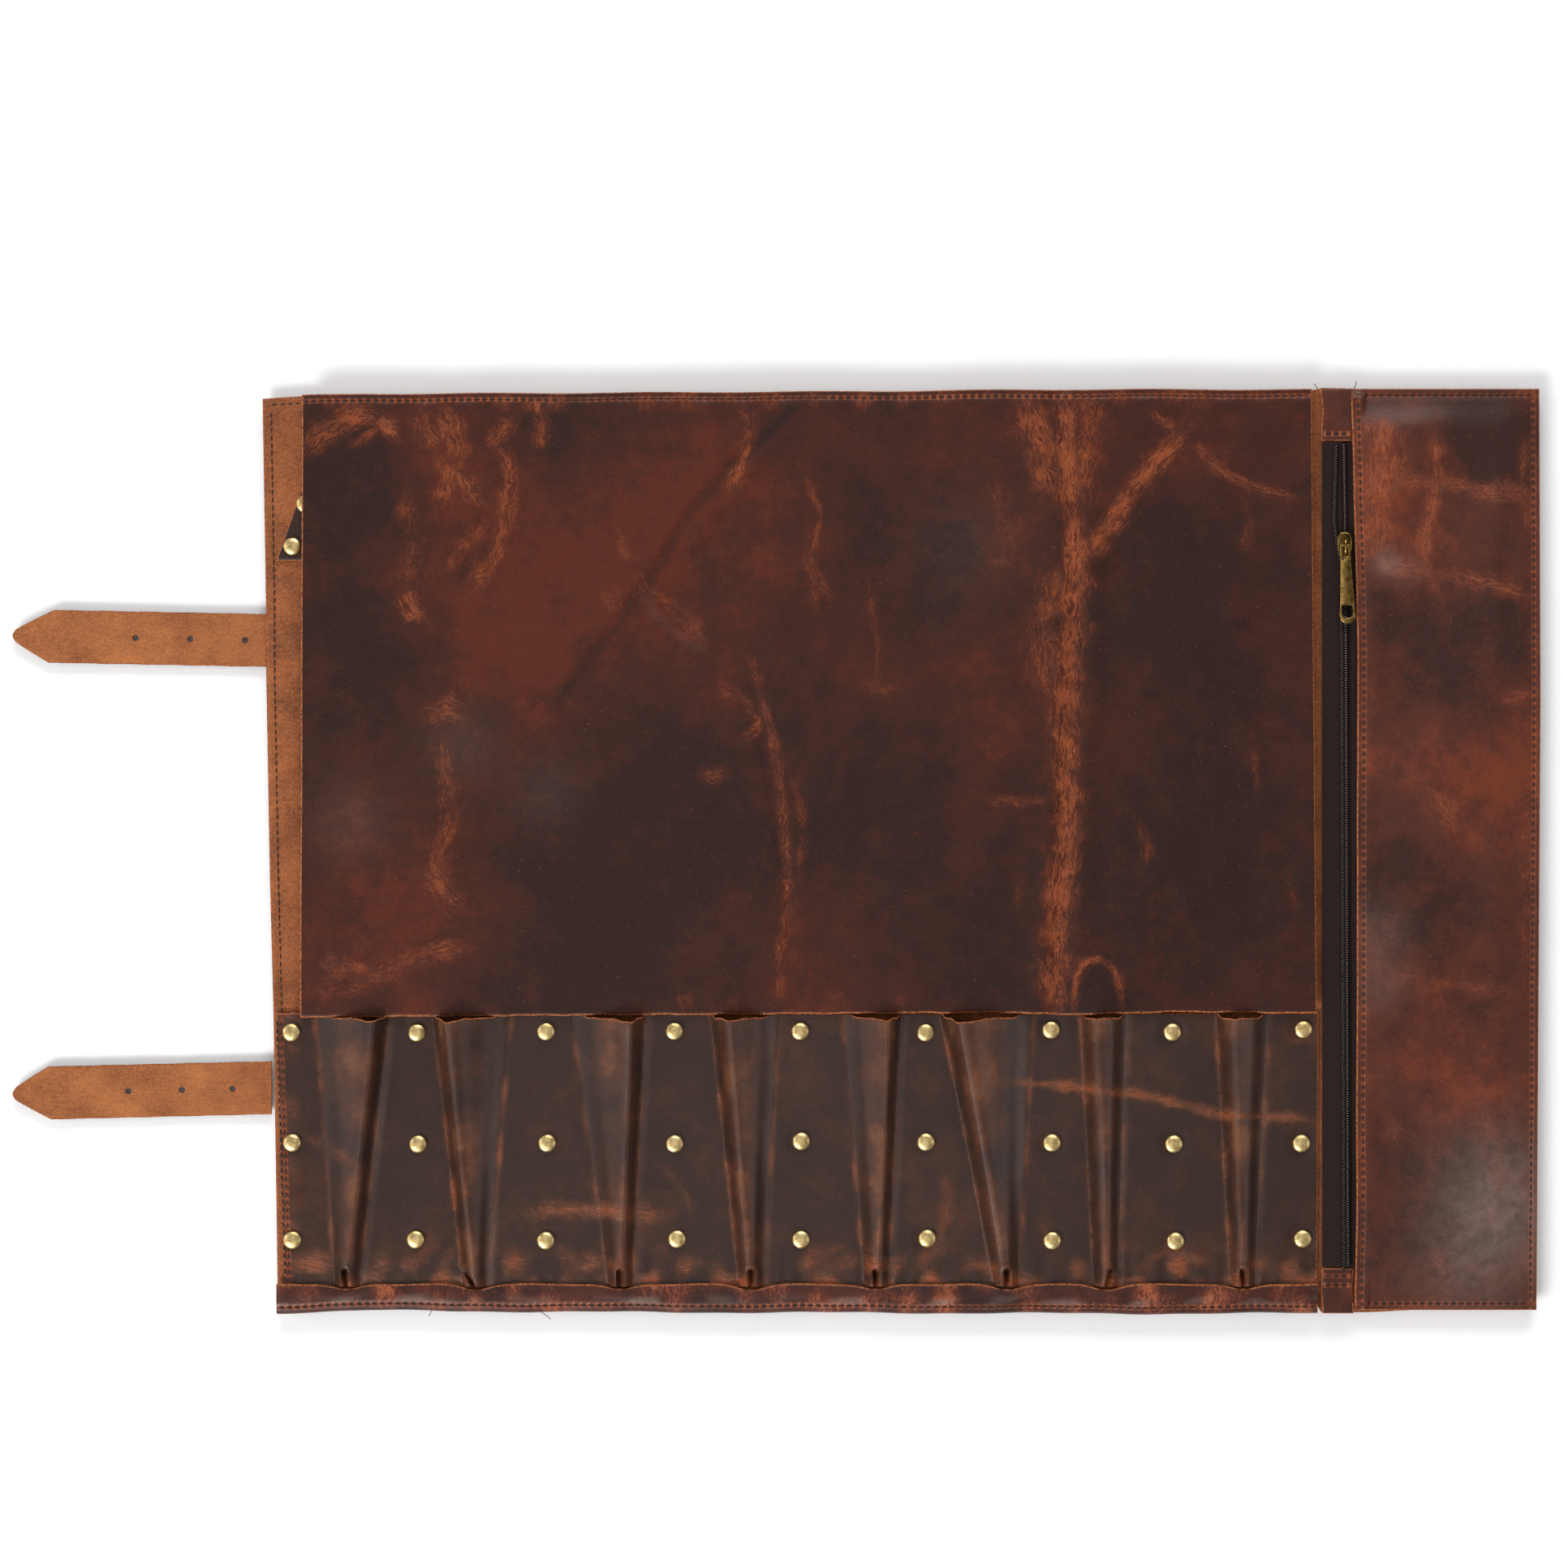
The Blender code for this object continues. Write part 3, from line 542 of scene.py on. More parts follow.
def stitches(name, starts, ends, thickness=0.42, sink=0.35):
    """Thread stitches from each start to each end: short bars whose ends dip into the leather."""
    points, faces = [], []
    sides = 6
    shares = (0.0, 0.12, 0.5, 0.88, 1.0)
    for start, end in zip(np.asarray(starts), np.asarray(ends)):
        along = (end - start) / np.linalg.norm(end - start)
        side = np.cross(along, (0, 0, 1))
        side /= np.linalg.norm(side)
        up = np.cross(side, along)
        first = len(points)
        for share in shares:
            hump = math.sin(math.pi * share)
            centre = start + (end - start) * share + up * ((hump - 1) * sink * MM)
            radius = thickness * MM * (0.6 + 0.4 * hump)
            for k in range(sides):
                angle = 2 * math.pi * k / sides
                points.append(centre + radius * (math.cos(angle) * side + math.sin(angle) * up))
        for i in range(len(shares) - 1):
            a, b = first + i * sides, first + (i + 1) * sides
            faces += band(a, b, sides)
        faces += caps(first, first + (len(shares) - 1) * sides, sides)
    obj = make_object(name, [tuple(p) for p in points], faces, [THREAD], sharp=80)
    keep_rest(obj)
    return obj


def stitch_line(points, gap=0.9):
    """Start and end points of stitches along a path of points, one pitch apart."""
    points = np.asarray(points, float)
    steps = np.linalg.norm(np.diff(points, axis=0), axis=1)
    reach = np.concatenate([[0], np.cumsum(steps)])
    count = max(1, int(reach[-1] / (STITCH_PITCH * MM)))
    starts, ends = [], []
    for i in range(count):
        a, b = (i * STITCH_PITCH + gap / 2) * MM, ((i + 1) * STITCH_PITCH - gap / 2) * MM
        starts.append([np.interp(a, reach, points[:, k]) for k in range(3)])
        ends.append([np.interp(b, reach, points[:, k]) for k in range(3)])
    return starts, ends


def sew(name, path, thickness, body):
    """Stitches along a path of points, which ride on a body."""
    thread = stitches(name, *stitch_line(path), thickness)
    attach(thread, body)


def assign(obj, body, slot, *nodes):
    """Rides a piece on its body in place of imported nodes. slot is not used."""
    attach(obj, body)
    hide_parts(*nodes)


def lines_between(low, high, step, rim=0.0):
    """Grid lines from low to high, about step apart, with one more line rim inside each end."""
    inner = np.linspace(low + rim, high - rim, max(2, int(round((high - low) / step)) + 1))
    return np.concatenate([[low], inner, [high]]) if rim else inner


def rounded(points, step=4.0):
    """A smooth path through (x, y) points."""
    points = np.array([points[0], *points, points[-1]], float)
    path = []
    for p0, p1, p2, p3 in zip(points, points[1:], points[2:], points[3:]):
        count = max(2, int(np.linalg.norm(p2 - p1) / step))
        for t in np.arange(count) / count:
            bent = 2 * p0 - 5 * p1 + 4 * p2 - p3
            path.append(0.5 * (2 * p1 + (p2 - p0) * t + bent * t**2 + (3 * p1 - p0 - 3 * p2 + p3) * t**3))
    return [*path, points[-1]]


def path_frame(x, y, path):
    """Signed distance across a path, distance along it, and its length."""
    best = np.full(x.shape, 1e9)
    across = np.zeros(x.shape)
    along = np.zeros(x.shape)
    done = 0.0
    for (x0, y0), (x1, y1) in zip(path, path[1:]):
        dx, dy = x1 - x0, y1 - y0
        length = math.hypot(dx, dy) or 1e-6
        t = np.clip(((x - x0) * dx + (y - y0) * dy) / length**2, 0, 1)
        gx, gy = x - x0 - t * dx, y - y0 - t * dy
        gap = np.hypot(gx, gy)
        closer = gap < best
        best = np.where(closer, gap, best)
        across = np.where(closer, gap * np.sign(dx * gy - dy * gx), across)
        along = np.where(closer, done + t * length, along)
        done += length
    return across, along, done


def crease_field(x, y, creases):
    """The "strand" attribute of a list of creases, each (strength, half width, point, point, ...) in mm."""
    field = np.zeros(x.shape + (3,))
    ragged = waves(x, y, 22, 5) * 0.3 + waves(x, y, 8, 6) * 0.2
    for index, (strength, width, *points) in enumerate(creases):
        path = rounded(points)
        low, high = np.min(path, axis=0) - 2.6 * width, np.max(path, axis=0) + 2.6 * width
        near = (x > low[0]) & (x < high[0]) & (y > low[1]) & (y < high[1])
        if not near.any():
            continue
        across, along, length = path_frame(x[near], y[near], path)
        fade = min(14, length / 3)
        ends = smooth(along, -0.1, fade) * smooth(along, length + 0.1, length - fade)
        spread = width * (1 + ragged[near])
        amount = strength * bell(across, spread) * (0.35 + 0.65 * ends)
        stronger = amount > field[..., 2][near]
        new = np.stack([across + 37 * index, along, amount], axis=-1)
        field[near] = np.where(stronger[:, None], new, field[near])
    return field


def add_wear(field, amount, across, along):
    """Lays a further wear amount over a strand field where it is the stronger."""
    stronger = amount > field[..., 2]
    new = np.stack(np.broadcast_arrays(across + 900.0, along, amount), axis=-1)
    return np.where(stronger[..., None], new, field)


def tone_field(x, y, patches, level):
    """Tone with (strength, radius, x, y) patches in mm, where a negative strength darkens."""
    tone = np.full(x.shape, float(level))
    for strength, radius, cx, cy in patches:
        gap = np.hypot(x - cx, y - cy)
        tone += strength * bell(gap, radius)
    return tone


def add_painted_sheen(obj, painted_sheen):
    """Gives the top of a slab its painted sheen, 0 to 1: a grey haze painted in where reflections would show.
    """
    top = painted_sheen.ravel()
    spread_attribute(obj.data, "painted_sheen", "FLOAT", np.concatenate([top, np.zeros_like(top)]))


def bend_over_fold(obj):
    """Bakes a sheet's transform into its mesh."""
    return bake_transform(obj)


# ---------------------------------------------------------------- outline of the case, in mm


def left_edge(y):
    places = (-227, -81, -13, 88, 120, 222)
    return np.interp(y, places, (-244.2, -246.4, -248.2, -250.0, -250.1, -251.8))


def right_edge(y):
    return np.interp(y, (-225, 75, 226), (374.0, 376.0, 375.4))


def far_edge(x):
    """The sewn edge beyond the flap."""
    places = (-252, -231, -200, 20, 118, 180, 265, 269, 376)
    reach = (222.2, 223.2, 223.9, 225.0, 225.9, 226.1, 226.1, 227.2, 225.8)
    return np.interp(x, places, reach) + 0.25 * np.sin(x / 13.0)


def near_edge(x):
    """The folded edge under the pockets."""
    places = (-245, -200, -100, 60, 180, 266, 376)
    line = np.interp(x, places, (-227.0, -225.6, -226.4, -226.8, -227.2, -227.0, -224.4))
    return line + 0.35 * np.sin(x / 17.0) + 0.15 * np.sin(x / 6.0)


def flap_near_edge(x):
    places = (-231, -60, 60, 118, 140, 198, 262)
    line = np.interp(x, places, (-81.6, -80.4, -79.6, -79.4, -80.4, -79.0, -79.7))
    return line + 0.16 * np.sin(x / 5.0) + 0.1 * np.sin(x / 2.3)


def hem_edge(x):
    """The hem's upper edge, which dips where each pleat meets it."""
    dips = sum(bell(x - pleat["foot"], 9.0) for pleat in PLEATS)
    return -212.3 - 2.6 * dips + 0.25 * np.sin(x / 7.0)


def make_pleat(left, right, foot, rise, crest, slit):
    """left and right bound the mouth; the ridge runs at crest across it; the foot's slit leans by slit mm."""
    return {"left": left, "right": right, "foot": foot, "rise": rise, "crest": crest, "slit": slit}


PLEATS = [
    make_pleat(-226, -189, -210.0, 13.0, 0.80, -1.0),
    make_pleat(-168, -129, -146.8, 13.6, 0.20, -7.0),
    make_pleat(-101, -63.6, -76.0, 13.6, 0.80, 0.0),
    make_pleat(-32, 2.4, -11.6, 13.0, 0.30, 0.0),
    make_pleat(32.6, 61.6, 49.6, 12.5, 0.76, -0.6),
    make_pleat(80.6, 127.2, 113.6, 14.6, 0.22, 0.0),
    make_pleat(149.5, 173.5, 162.4, 11.5, 0.42, 3.0),
    make_pleat(216.0, 243.0, 229.6, 12.0, 0.38, -0.8),
]
POCKET_FAR = -79.6
POCKET_FOOT = -214.2
FOOT_HALF = 6.0
CUTS = [-38.0, 65.5, 208.0]  # where the long layers are cut, in flat leather between two folds


def pleat_height(x, y):
    """Height of the pleated strip above its flat parts, and how close each point is to a pleat's edges."""
    height = np.zeros(np.broadcast(x, y).shape)
    edge_wear = np.zeros_like(height)
    for pleat in PLEATS:
        share = np.clip((POCKET_FAR - y) / (POCKET_FAR - POCKET_FOOT), 0, 1)
        run = share**0.92
        left = pleat["left"] + (pleat["foot"] - FOOT_HALF - pleat["left"]) * run
        right = pleat["right"] + (pleat["foot"] + FOOT_HALF - pleat["right"]) * run
        crest = pleat["crest"] + (0.5 - pleat["crest"]) * share**2
        s = (x - left) / (right - left)
        rising = np.clip(s / crest, 0, 1)
        falling = np.clip((1 - s) / (1 - crest), 0, 1)
        blend = np.minimum(rising, falling)
        steep_left = (blend == rising) * (pleat["crest"] > 0.5)
        steep_right = (blend == falling) * (pleat["crest"] < 0.5)
        steep = 0.72 + 0.4 * steep_left + 0.4 * steep_right
        shape = np.sin(blend * math.pi / 2) ** (steep * 1.3)
        rise = pleat["rise"] + (7.2 - pleat["rise"]) * share**0.8
        sag = 1 - 0.16 * bell(s - 0.5, 0.18) * (1 - share) ** 0.5
        slit_top = POCKET_FOOT + 10.5
        toward = np.clip((slit_top - y) / (slit_top - POCKET_FOOT), 0, 1)
        slit_x = pleat["foot"] + pleat["slit"] * (1 - toward)
        notch = bell(x - slit_x, 1.25) * smooth(y, slit_top, slit_top - 2.2)
        rim = bell(y - slit_top - 0.6, 1.4) * bell(x - slit_x, 3.2)
        end = smooth(y, POCKET_FOOT - 0.2, POCKET_FOOT + 1.3)
        piece = rise * shape * sag * (1 - 0.92 * notch) * end + 0.8 * rim * end
        height = np.maximum(height, np.where((s > 0) & (s < 1), piece, 0))
        inside = (s > -0.25) & (s < 1.25)
        near_side = np.minimum(np.abs(s), np.abs(s - 1)) * (right - left)
        near_ridge = (s - crest) * (right - left)
        wear = bell(near_side, 2.0) * 0.5
        wear = wear + bell(near_ridge, 2.2) * (0.15 + 0.45 * share**2)
        wear = np.maximum(wear, 0.75 * notch * 0.6 + 0.7 * rim + 0.6 * smooth(share, 0.9, 1.0))
        edge_wear = np.maximum(edge_wear, np.where(inside, wear, 0))
    return height, edge_wear


def rivet_spots():
    """(x, y) in mm of every rivet through the pocket strip."""
    spots = []
    for node in frame["nodes"]:
        if node.startswith("rivet_"):
            low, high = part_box(node)
            spots.append(((low[0] + high[0]) / 2 / MM, (low[1] + high[1]) / 2 / MM))
    return spots


# ---------------------------------------------------------------- long layers


LAST = 4  # a long layer is cut into pieces 1 to 4
RAW_DROP = 0.5  # how far a raw edge lies below its sheet's top, in mm


def spans(low, high, cuts=CUTS):
    """The stretches of a long layer, as (number, start, end)."""
    edges = [low, *cuts, high]
    return [(i + 1, edges[i], edges[i + 1]) for i in range(LAST)]


def with_rims(line, number, rim):
    """Adds a grid line close inside the layer's two outer ends, where the raw edge shows."""
    if number == 1:
        return np.concatenate([[line[0], line[0] + rim], line[1:]])
    if number == LAST:
        return np.concatenate([line[:-1], [line[-1] - rim, line[-1]]])
    return line


def edge_drop(z, number, near=0.0, right=RAW_DROP):
    """How far each grid point of a long layer's piece drops at the layer's raw edges."""
    drop = np.zeros_like(z)
    drop[0] = near
    drop[-1] = RAW_DROP
    if number == 1:
        drop[:, 0] = RAW_DROP
    if number == LAST:
        drop[:, -1] = right
    return drop


def raw_rims(number, near=0):
    """The rims that show the cut edge on a long layer's piece."""
    return (int(number == 1), int(number == LAST), near, 1)


def carry(obj, number):
    """Bakes a piece of the strip or hem in place. The last one ends before a fold, so it rides on panel_4."""
    if number < LAST:
        bend_over_fold(obj)
    else:
        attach(obj, "panel_4")


BACKING_SEAM = 4.2  # the seam's distance in from the left edge, in mm


def sew_backing():
    z = BACKING_TOP / MM + 0.12
    y = np.linspace(-221, 218.5, 150)
    left = heights(left_edge(y) + BACKING_SEAM, y, z) * MM
    sew("backing_left_stitches", left, 0.36, "panel_1")
    x = np.linspace(left_edge(219) + BACKING_SEAM, -232, 8)
    corner = heights(x, far_edge(x) - 3.4, z) * MM
    sew("backing_corner_stitches", corner, 0.36, "panel_1")


def build_backing():
    far_left, far_right = -252, 376
    for number, start, end in spans(far_left, far_right):
        width = end - start
        v = lines_between(0, 1, 1 / 180)
        v = np.concatenate([[0, 0.0012], v[1:-1], [0.9988, 1]])
        u = with_rims(np.linspace(0, 1, int(width / 2.4)), number, 0.5 / width)
        uu, vv = np.meshgrid(u, v)
        rough_x = start + uu * width
        near = np.where(rough_x < 266.5, -222.0, near_edge(rough_x) + 0.3)
        y = near + (far_edge(rough_x) - near) * vv
        first = left_edge(y) if number == 1 else start
        last = right_edge(y) if number == LAST else end
        x = first + (last - first) * uu
        z = BACKING_TOP / MM + 0.18 * waves(x, y, 60, 11)
        from_seam = x - left_edge(y) - BACKING_SEAM
        if number == 1:
            z -= 0.35 * bell(from_seam, 0.9)
        over = heights(x, y, z - edge_drop(z, number)) * MM
        under = heights(x, y, np.full_like(x, BACKING_LOW / MM)) * MM
        tone = tone_field(x, y, [], 0.4)
        worn = crease_field(x, y, [(0.5, 9, (f / MM, -220), (f / MM, 220)) for f in FOLDS])
        seam = heights(from_seam, y, np.zeros_like(x))
        materials = [SUEDE, FLAP_GRAIN, EDGE]
        obj = slab(f"backing_{number}", over, under, materials, raw_rims(number), tone, worn, seam)
        bend_over_fold(obj)
        panels = (4, 5) if number == LAST else (number,)
        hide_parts(*[f"backing_panel_{panel}" for panel in panels])
        if number == 1:
            sew_backing()


POCKET_NEAR = -221.6  # the strip's near edge, under the hem
POCKET_SEAM = 2.3


def pocket_left(share):
    """The strip's slanted left edge, from 0 at its near end to 1 at its mouth."""
    return -244.8 + 4.6 * (1 - share)


def sew_pocket_strip():
    y = np.linspace(-212, -82, 90)
    for offset, tag in ((POCKET_SEAM, "inner"), (0.2, "outer")):
        x = pocket_left((y - POCKET_NEAR) / 141) + offset
        path = heights(x, y, POCKET_TOP / MM + 0.3) * MM
        sew(f"pocket_{tag}_stitches", path, 0.34, "panel_1")


def build_pocket_strip():
    spots = rivet_spots()
    body = (np.linspace(0.012, 0.12, 26), np.linspace(0.126, 1, 128)[:-1])
    v = np.concatenate([[0, 0.005], *body, [0.996, 1]])
    for number, start, end in spans(-245, 266.6):
        width = end - start
        x_line = with_rims(lines_between(start, end, 0.8), number, 0.5)
        xx, vv = np.meshgrid(x_line, v)
        if number == 1:
            xx = xx + (pocket_left(vv) - start) * (1 - (xx - start) / width)
        if number == LAST:
            xx = xx - 0.7 * (1 - vv) * (xx - start) / width
        lift = pleat_height(xx, np.full_like(xx, POCKET_FAR - 3))[0]
        far = POCKET_FAR - 2.0 * smooth(lift, 1.0, 5.0) - 1.6 * smooth(lift, 9.5, 13.5)
        far += 0.14 * np.sin(xx / 2.1) + 0.12 * np.sin(xx / 0.9)
        y = POCKET_NEAR + (far - POCKET_NEAR) * vv
        rise, wear = pleat_height(xx, y)
        flat = 1 - smooth(rise, 0.5, 4.0)
        free = smooth(y, -213, -207)
        z = POCKET_TOP / MM + rise + free * (0.25 * waves(xx, y, 60, 21) + 0.25) * flat
        z += free * 0.04 * waves(xx, y, 20, 22)
        pucker = smooth(y, -188, -212) * smooth(y, -214, -210)
        z += 0.12 * pucker * flat * np.sin(xx / 1.35 + 2 * np.sin(xx / 9))
        for sx, sy in spots:
            if start - 12 < sx < end + 12:
                gap = np.hypot(xx - sx, y - sy)
                z -= smooth(gap, 9.0, 4.2) * (z - POCKET_TOP / MM)
        z = np.where(y < -213.6, np.minimum(z, POCKET_TOP / MM + 0.1), z)
        over = heights(xx, y, z - edge_drop(z, number)) * MM
        under = heights(xx, y, z - LEATHER / MM) * MM
        seam = heights(xx - pocket_left(vv) - POCKET_SEAM, y, np.where(xx < -225, 1.0, 0.0))
        worn = crease_field(xx, y, POCKET_CREASES)
        worn = add_wear(worn, np.clip(wear * (0.85 + 0.7 * waves(xx, y, 22, 23)), 0, 1), xx, y)
        band = smooth(y, -186, -208) * 0.8 * (0.45 + 0.8 * waves(xx, y, 20, 24))
        worn = add_wear(worn, np.clip(band, 0, 1), y, xx)
        left_wear = smooth(xx, -228, -240) * 0.5 * (0.7 + 0.6 * waves(xx, y, 20, 25))
        worn = add_wear(worn, np.clip(left_wear, 0, 1), y, xx)
        tone = tone_field(xx, y, [], 0.12)
        tone += 0.62 * smooth(rise, 3, 9) * (0.7 + 0.5 * waves(xx, y, 30, 26))
        materials = [POCKET_GRAIN, SUEDE, EDGE]
        obj = slab(f"pocket_strip_{number}", over, under, materials, raw_rims(number), tone, worn, seam)
        # Painted highlights: a grey sheen on the flat leather just right of each pleat, and a streak along
        # each pleat's crest.
        beside = pleat_height(xx - 5.0, y)[0]
        slope = np.gradient(rise, axis=1) / np.gradient(xx, axis=1)
        crest = bell(slope, 0.22) * smooth(rise, 4, 8)
        painted_sheen = 0.11 * smooth(beside, 0.5, 6) * flat + 0.13 * crest
        painted_sheen *= 0.7 + 0.5 * waves(xx, y * 0.5, 26, 27)
        add_painted_sheen(obj, np.clip(painted_sheen, 0, 0.3))
        carry(obj, number)
        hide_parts(f"pocket_panel_{number}")
        if number == 1:
            sew_pocket_strip()


HEM_SEAM = 3.7


def build_hem():
    """The backing's edge, turned up over the pocket strip."""
    outer = (HEM_TOP - BACKING_LOW) / MM / 2
    inner = outer - 2
    middle = (HEM_TOP + BACKING_LOW) / MM / 2
    low_z = BACKING_LOW / MM
    lip_steps = np.concatenate([[0.0, 0.6], np.linspace(1.4, 9.2, 12), [9.8, 10.4]]) / 10.4
    for number, start, end in spans(-244.4, 266.0):
        x_line = lines_between(start, end, 0.8)
        bottom = near_edge(x_line)
        bend = bottom + outer
        over = [heights(x_line, -222.0, low_z)]
        under = [heights(x_line, -222.0, low_z + 2.0)]
        for a in np.radians(np.linspace(-90, -270, 14)):
            over.append(heights(x_line, bend + outer * np.cos(a), middle + outer * np.sin(a)))
            under.append(heights(x_line, bend + inner * np.cos(a), middle + inner * np.sin(a)))
        near_pleat = sum(bell(x_line - pleat["foot"], 10.0) for pleat in PLEATS)
        for share in lip_steps:
            y = bend + (hem_edge(x_line) - bend) * share
            seam_gap = y - bottom - HEM_SEAM
            z = HEM_TOP / MM + 0.5 * np.sin(share * math.pi) - 0.45 * bell(seam_gap, 0.9)
            z = z + (0.7 * near_pleat + 0.25 * waves(x_line, y, 17, 31)) * smooth(share, 0.2, 1.0)
            drop, thick = (0.5, 1.3) if share > 0.99 else (0.0, 1.8)
            z = z - drop
            over.append(heights(x_line, y, z))
            under.append(heights(x_line, y, z - thick))
        over, under = np.stack(over), np.stack(under)
        x, y = over[..., 0], over[..., 1]
        crackle = np.clip(0.36 + 0.52 * waves(x, y, 22, 32), 0.08, 0.9)
        worn = heights(x * 0.8, y * 1.6, crackle)
        seam = heights(y - near_edge(x) - HEM_SEAM, x, np.where(over[..., 2] > middle, 1.0, 0.0))
        tone = tone_field(x, y, [], 0.3)
        materials = [HEM_GRAIN, SUEDE, EDGE]
        obj = slab(f"hem_{number}", over * MM, under * MM, materials, (0, 0, 0, 1), tone, worn, seam)
        # Painted highlight: pale glossy streaks along the turned-over hem.
        glint = np.clip(waves(x, y * 3, 20, 34) + 0.1, 0, 1)
        add_painted_sheen(obj, 0.3 * glint * bell(y - near_edge(x) - 5.4, 2.6))
        carry(obj, number)
        xs = np.linspace(start + 0.4, end - 0.4, int((end - start) / 2))
        path = heights(xs, near_edge(xs) + HEM_SEAM, HEM_TOP / MM - 0.1) * MM
        thread = stitches(f"hem_stitches_{number}", *stitch_line(path), 0.4)
        carry(thread, number)


# Creases as (strength, half width, point, point, ...), in mm
POCKET_CREASES = [
    (0.8, 3.2, (110, -113), (150, -116), (186, -121), (218, -129), (266, -131)),
    (0.7, 5.0, (-126, -180), (-100, -176), (-50, -178)),
    (0.45, 4.0, (-236, -138), (-210, -150), (-196, -160)),
    (0.5, 4.0, (174, -212), (192, -196), (220, -208)),
    (0.45, 5.0, (-190, -212), (-170, -196), (-166, -184)),
    (0.4, 4.0, (-60, -150), (-44, -168), (-40, -186)),
    (0.5, 5.0, (18, -210), (44, -196)),
    (0.45, 5.0, (66, -212), (84, -180), (82, -150)),
    (0.4, 6.0, (130, -176), (140, -205), (146, -212)),
    (0.35, 4.0, (-212, -86), (-214, -120)),
    (0.4, 4.0, (250, -96), (266, -90)),
]
FLAP_CREASES = [
    (0.9, 7, (-232, 194), (-219, 205), (-204, 213), (-190, 211)),
    (0.65, 4, (-211, 196), (-198, 204), (-190, 212)),
    (0.95, 5, (-195, 214), (-190, 207), (-184, 202)),
    (0.75, 9, (-166, 222), (-158, 207), (-157, 195), (-160, 183), (-164, 166)),
    (0.85, 5.5, (-158, 192), (-151, 178), (-142, 166)),
    (0.7, 6.5, (-174, 220), (-172, 207), (-162, 196)),
    (0.95, 6, (-118, 222), (-117, 212)),
    (0.7, 6.5, (-117, 220), (-115, 207), (-117, 194)),
    (0.65, 6, (-124, 214), (-135, 204), (-143, 194)),
    (0.78, 5.5, (-139, 200), (-131, 192), (-130, 180), (-132, 164), (-135, 148), (-140, 138), (-152, 125)),
    (0.7, 5, (-138, 168), (-145, 157), (-155, 144), (-167, 131)),
    (0.55, 6.5, (-178, 184), (-180, 164), (-177, 147), (-180, 131), (-184, 122)),
    (0.98, 7, (-183, 130), (-179, 121), (-172, 111)),
    (0.4, 5, (-200, 118), (-186, 119)),
    (0.65, 4, (-69, 137), (-62, 124)),
    (0.45, 9, (-84, 130), (-74, 116)),
    (0.75, 5, (-18, 220), (-12, 204), (-24, 170)),
    (0.55, 3, (12, 190), (22, 164), (18, 140), (32, 118)),
    (0.5, 3.5, (10, 150), (20, 130), (18, 112)),
    (0.45, 3, (44, 138), (50, 100), (48, 66)),
    (0.5, 5, (38, 84), (52, 78), (60, 84)),
    (0.55, 5, (-30, 84), (-8, 64), (-22, 52)),
    (0.55, 4, (-14, 100), (-2, 60), (4, 20), (6, -20), (2, -60), (4, -81)),
    (0.5, 4, (8, 40), (14, 10), (10, -14)),
    (0.95, 8.5, (140, 226), (143, 190), (146, 140), (142, 60), (142, 10), (138, -40), (136, -82)),
    (0.85, 12, (122, 228), (130, 200), (138, 170)),
    (0.7, 10, (160, 228), (152, 196), (147, 160)),
    (0.6, 12, (146, 150), (132, 110), (136, 70)),
    (0.95, 6, (204, 208), (188, 192), (172, 172), (152, 142)),
    (0.6, 4, (180, 218), (196, 208), (204, 218)),
    (0.6, 4, (198, 208), (214, 190), (232, 180), (262, 172)),
    (0.45, 3.5, (228, 178), (232, 158), (226, 140)),
    (0.6, 9, (-176, 64), (-160, 70), (-150, 62)),
    (0.6, 7, (-166, 60), (-160, 20), (-166, -10), (-150, -32)),
    (0.75, 7, (-172, -10), (-160, -22), (-150, -30)),
    (0.6, 8, (-228, -52), (-200, -58), (-174, -50), (-146, -48)),
    (0.4, 7, (-230, -70), (-190, -66)),
    (0.5, 6, (-40, 36), (-22, 38)),
    (0.35, 8, (-215, 24), (-196, 20)),
    (0.5, 3.5, (96, 28), (122, 24), (140, 28)),
    (0.6, 4, (174, 22), (182, 2), (180, -12)),
    (0.75, 2.6, (146, -81), (148, -60), (158, -53), (168, -62), (170, -80)),
    (0.45, 3, (234, 60), (236, 26)),
    (0.45, 6, (-46, -68), (-42, -80)),
    (0.4, 6, (-22, -70), (-20, -80)),
    (0.4, 7, (28, -66), (30, -80)),
    (0.5, 5, (60, -70), (64, -80)),
    (0.4, 5, (120, -10), (118, -30)),
    (0.55, 6, (-66, 130), (-42, 112), (-30, 96)),
    (0.5, 5, (-80, 160), (-66, 136)),
    (0.35, 10, (100, 60), (112, 40)),
    (0.4, 3, (250, -10), (256, -30)),
    (0.45, 9, (104, 190), (112, 160), (106, 130)),
]
# Mottling as (strength, radius, x, y)
FLAP_PATCHES = [
    (-0.6, 34, -212, 178),
    (0.35, 60, -150, 170),
    (0.5, 70, -60, 150),
    (0.35, 40, -130, 90),
    (-0.5, 40, -100, 210),
    (-0.35, 44, -210, 100),
    (-0.45, 40, 78, 150),
    (0.3, 40, 96, 170),
    (-0.45, 50, 200, 110),
    (0.3, 30, 218, 190),
    (0.35, 44, 110, 70),
    (-0.4, 60, -60, 30),
    (-0.45, 50, 50, 10),
    (0.3, 46, -170, -20),
    (-0.5, 50, -100, -40),
    (-0.45, 60, 220, -10),
    (0.2, 40, 10, -50),
    (-0.6, 16, 158, -74),
    (0.25, 50, -200, -60),
    (-0.3, 40, 96, -50),
]
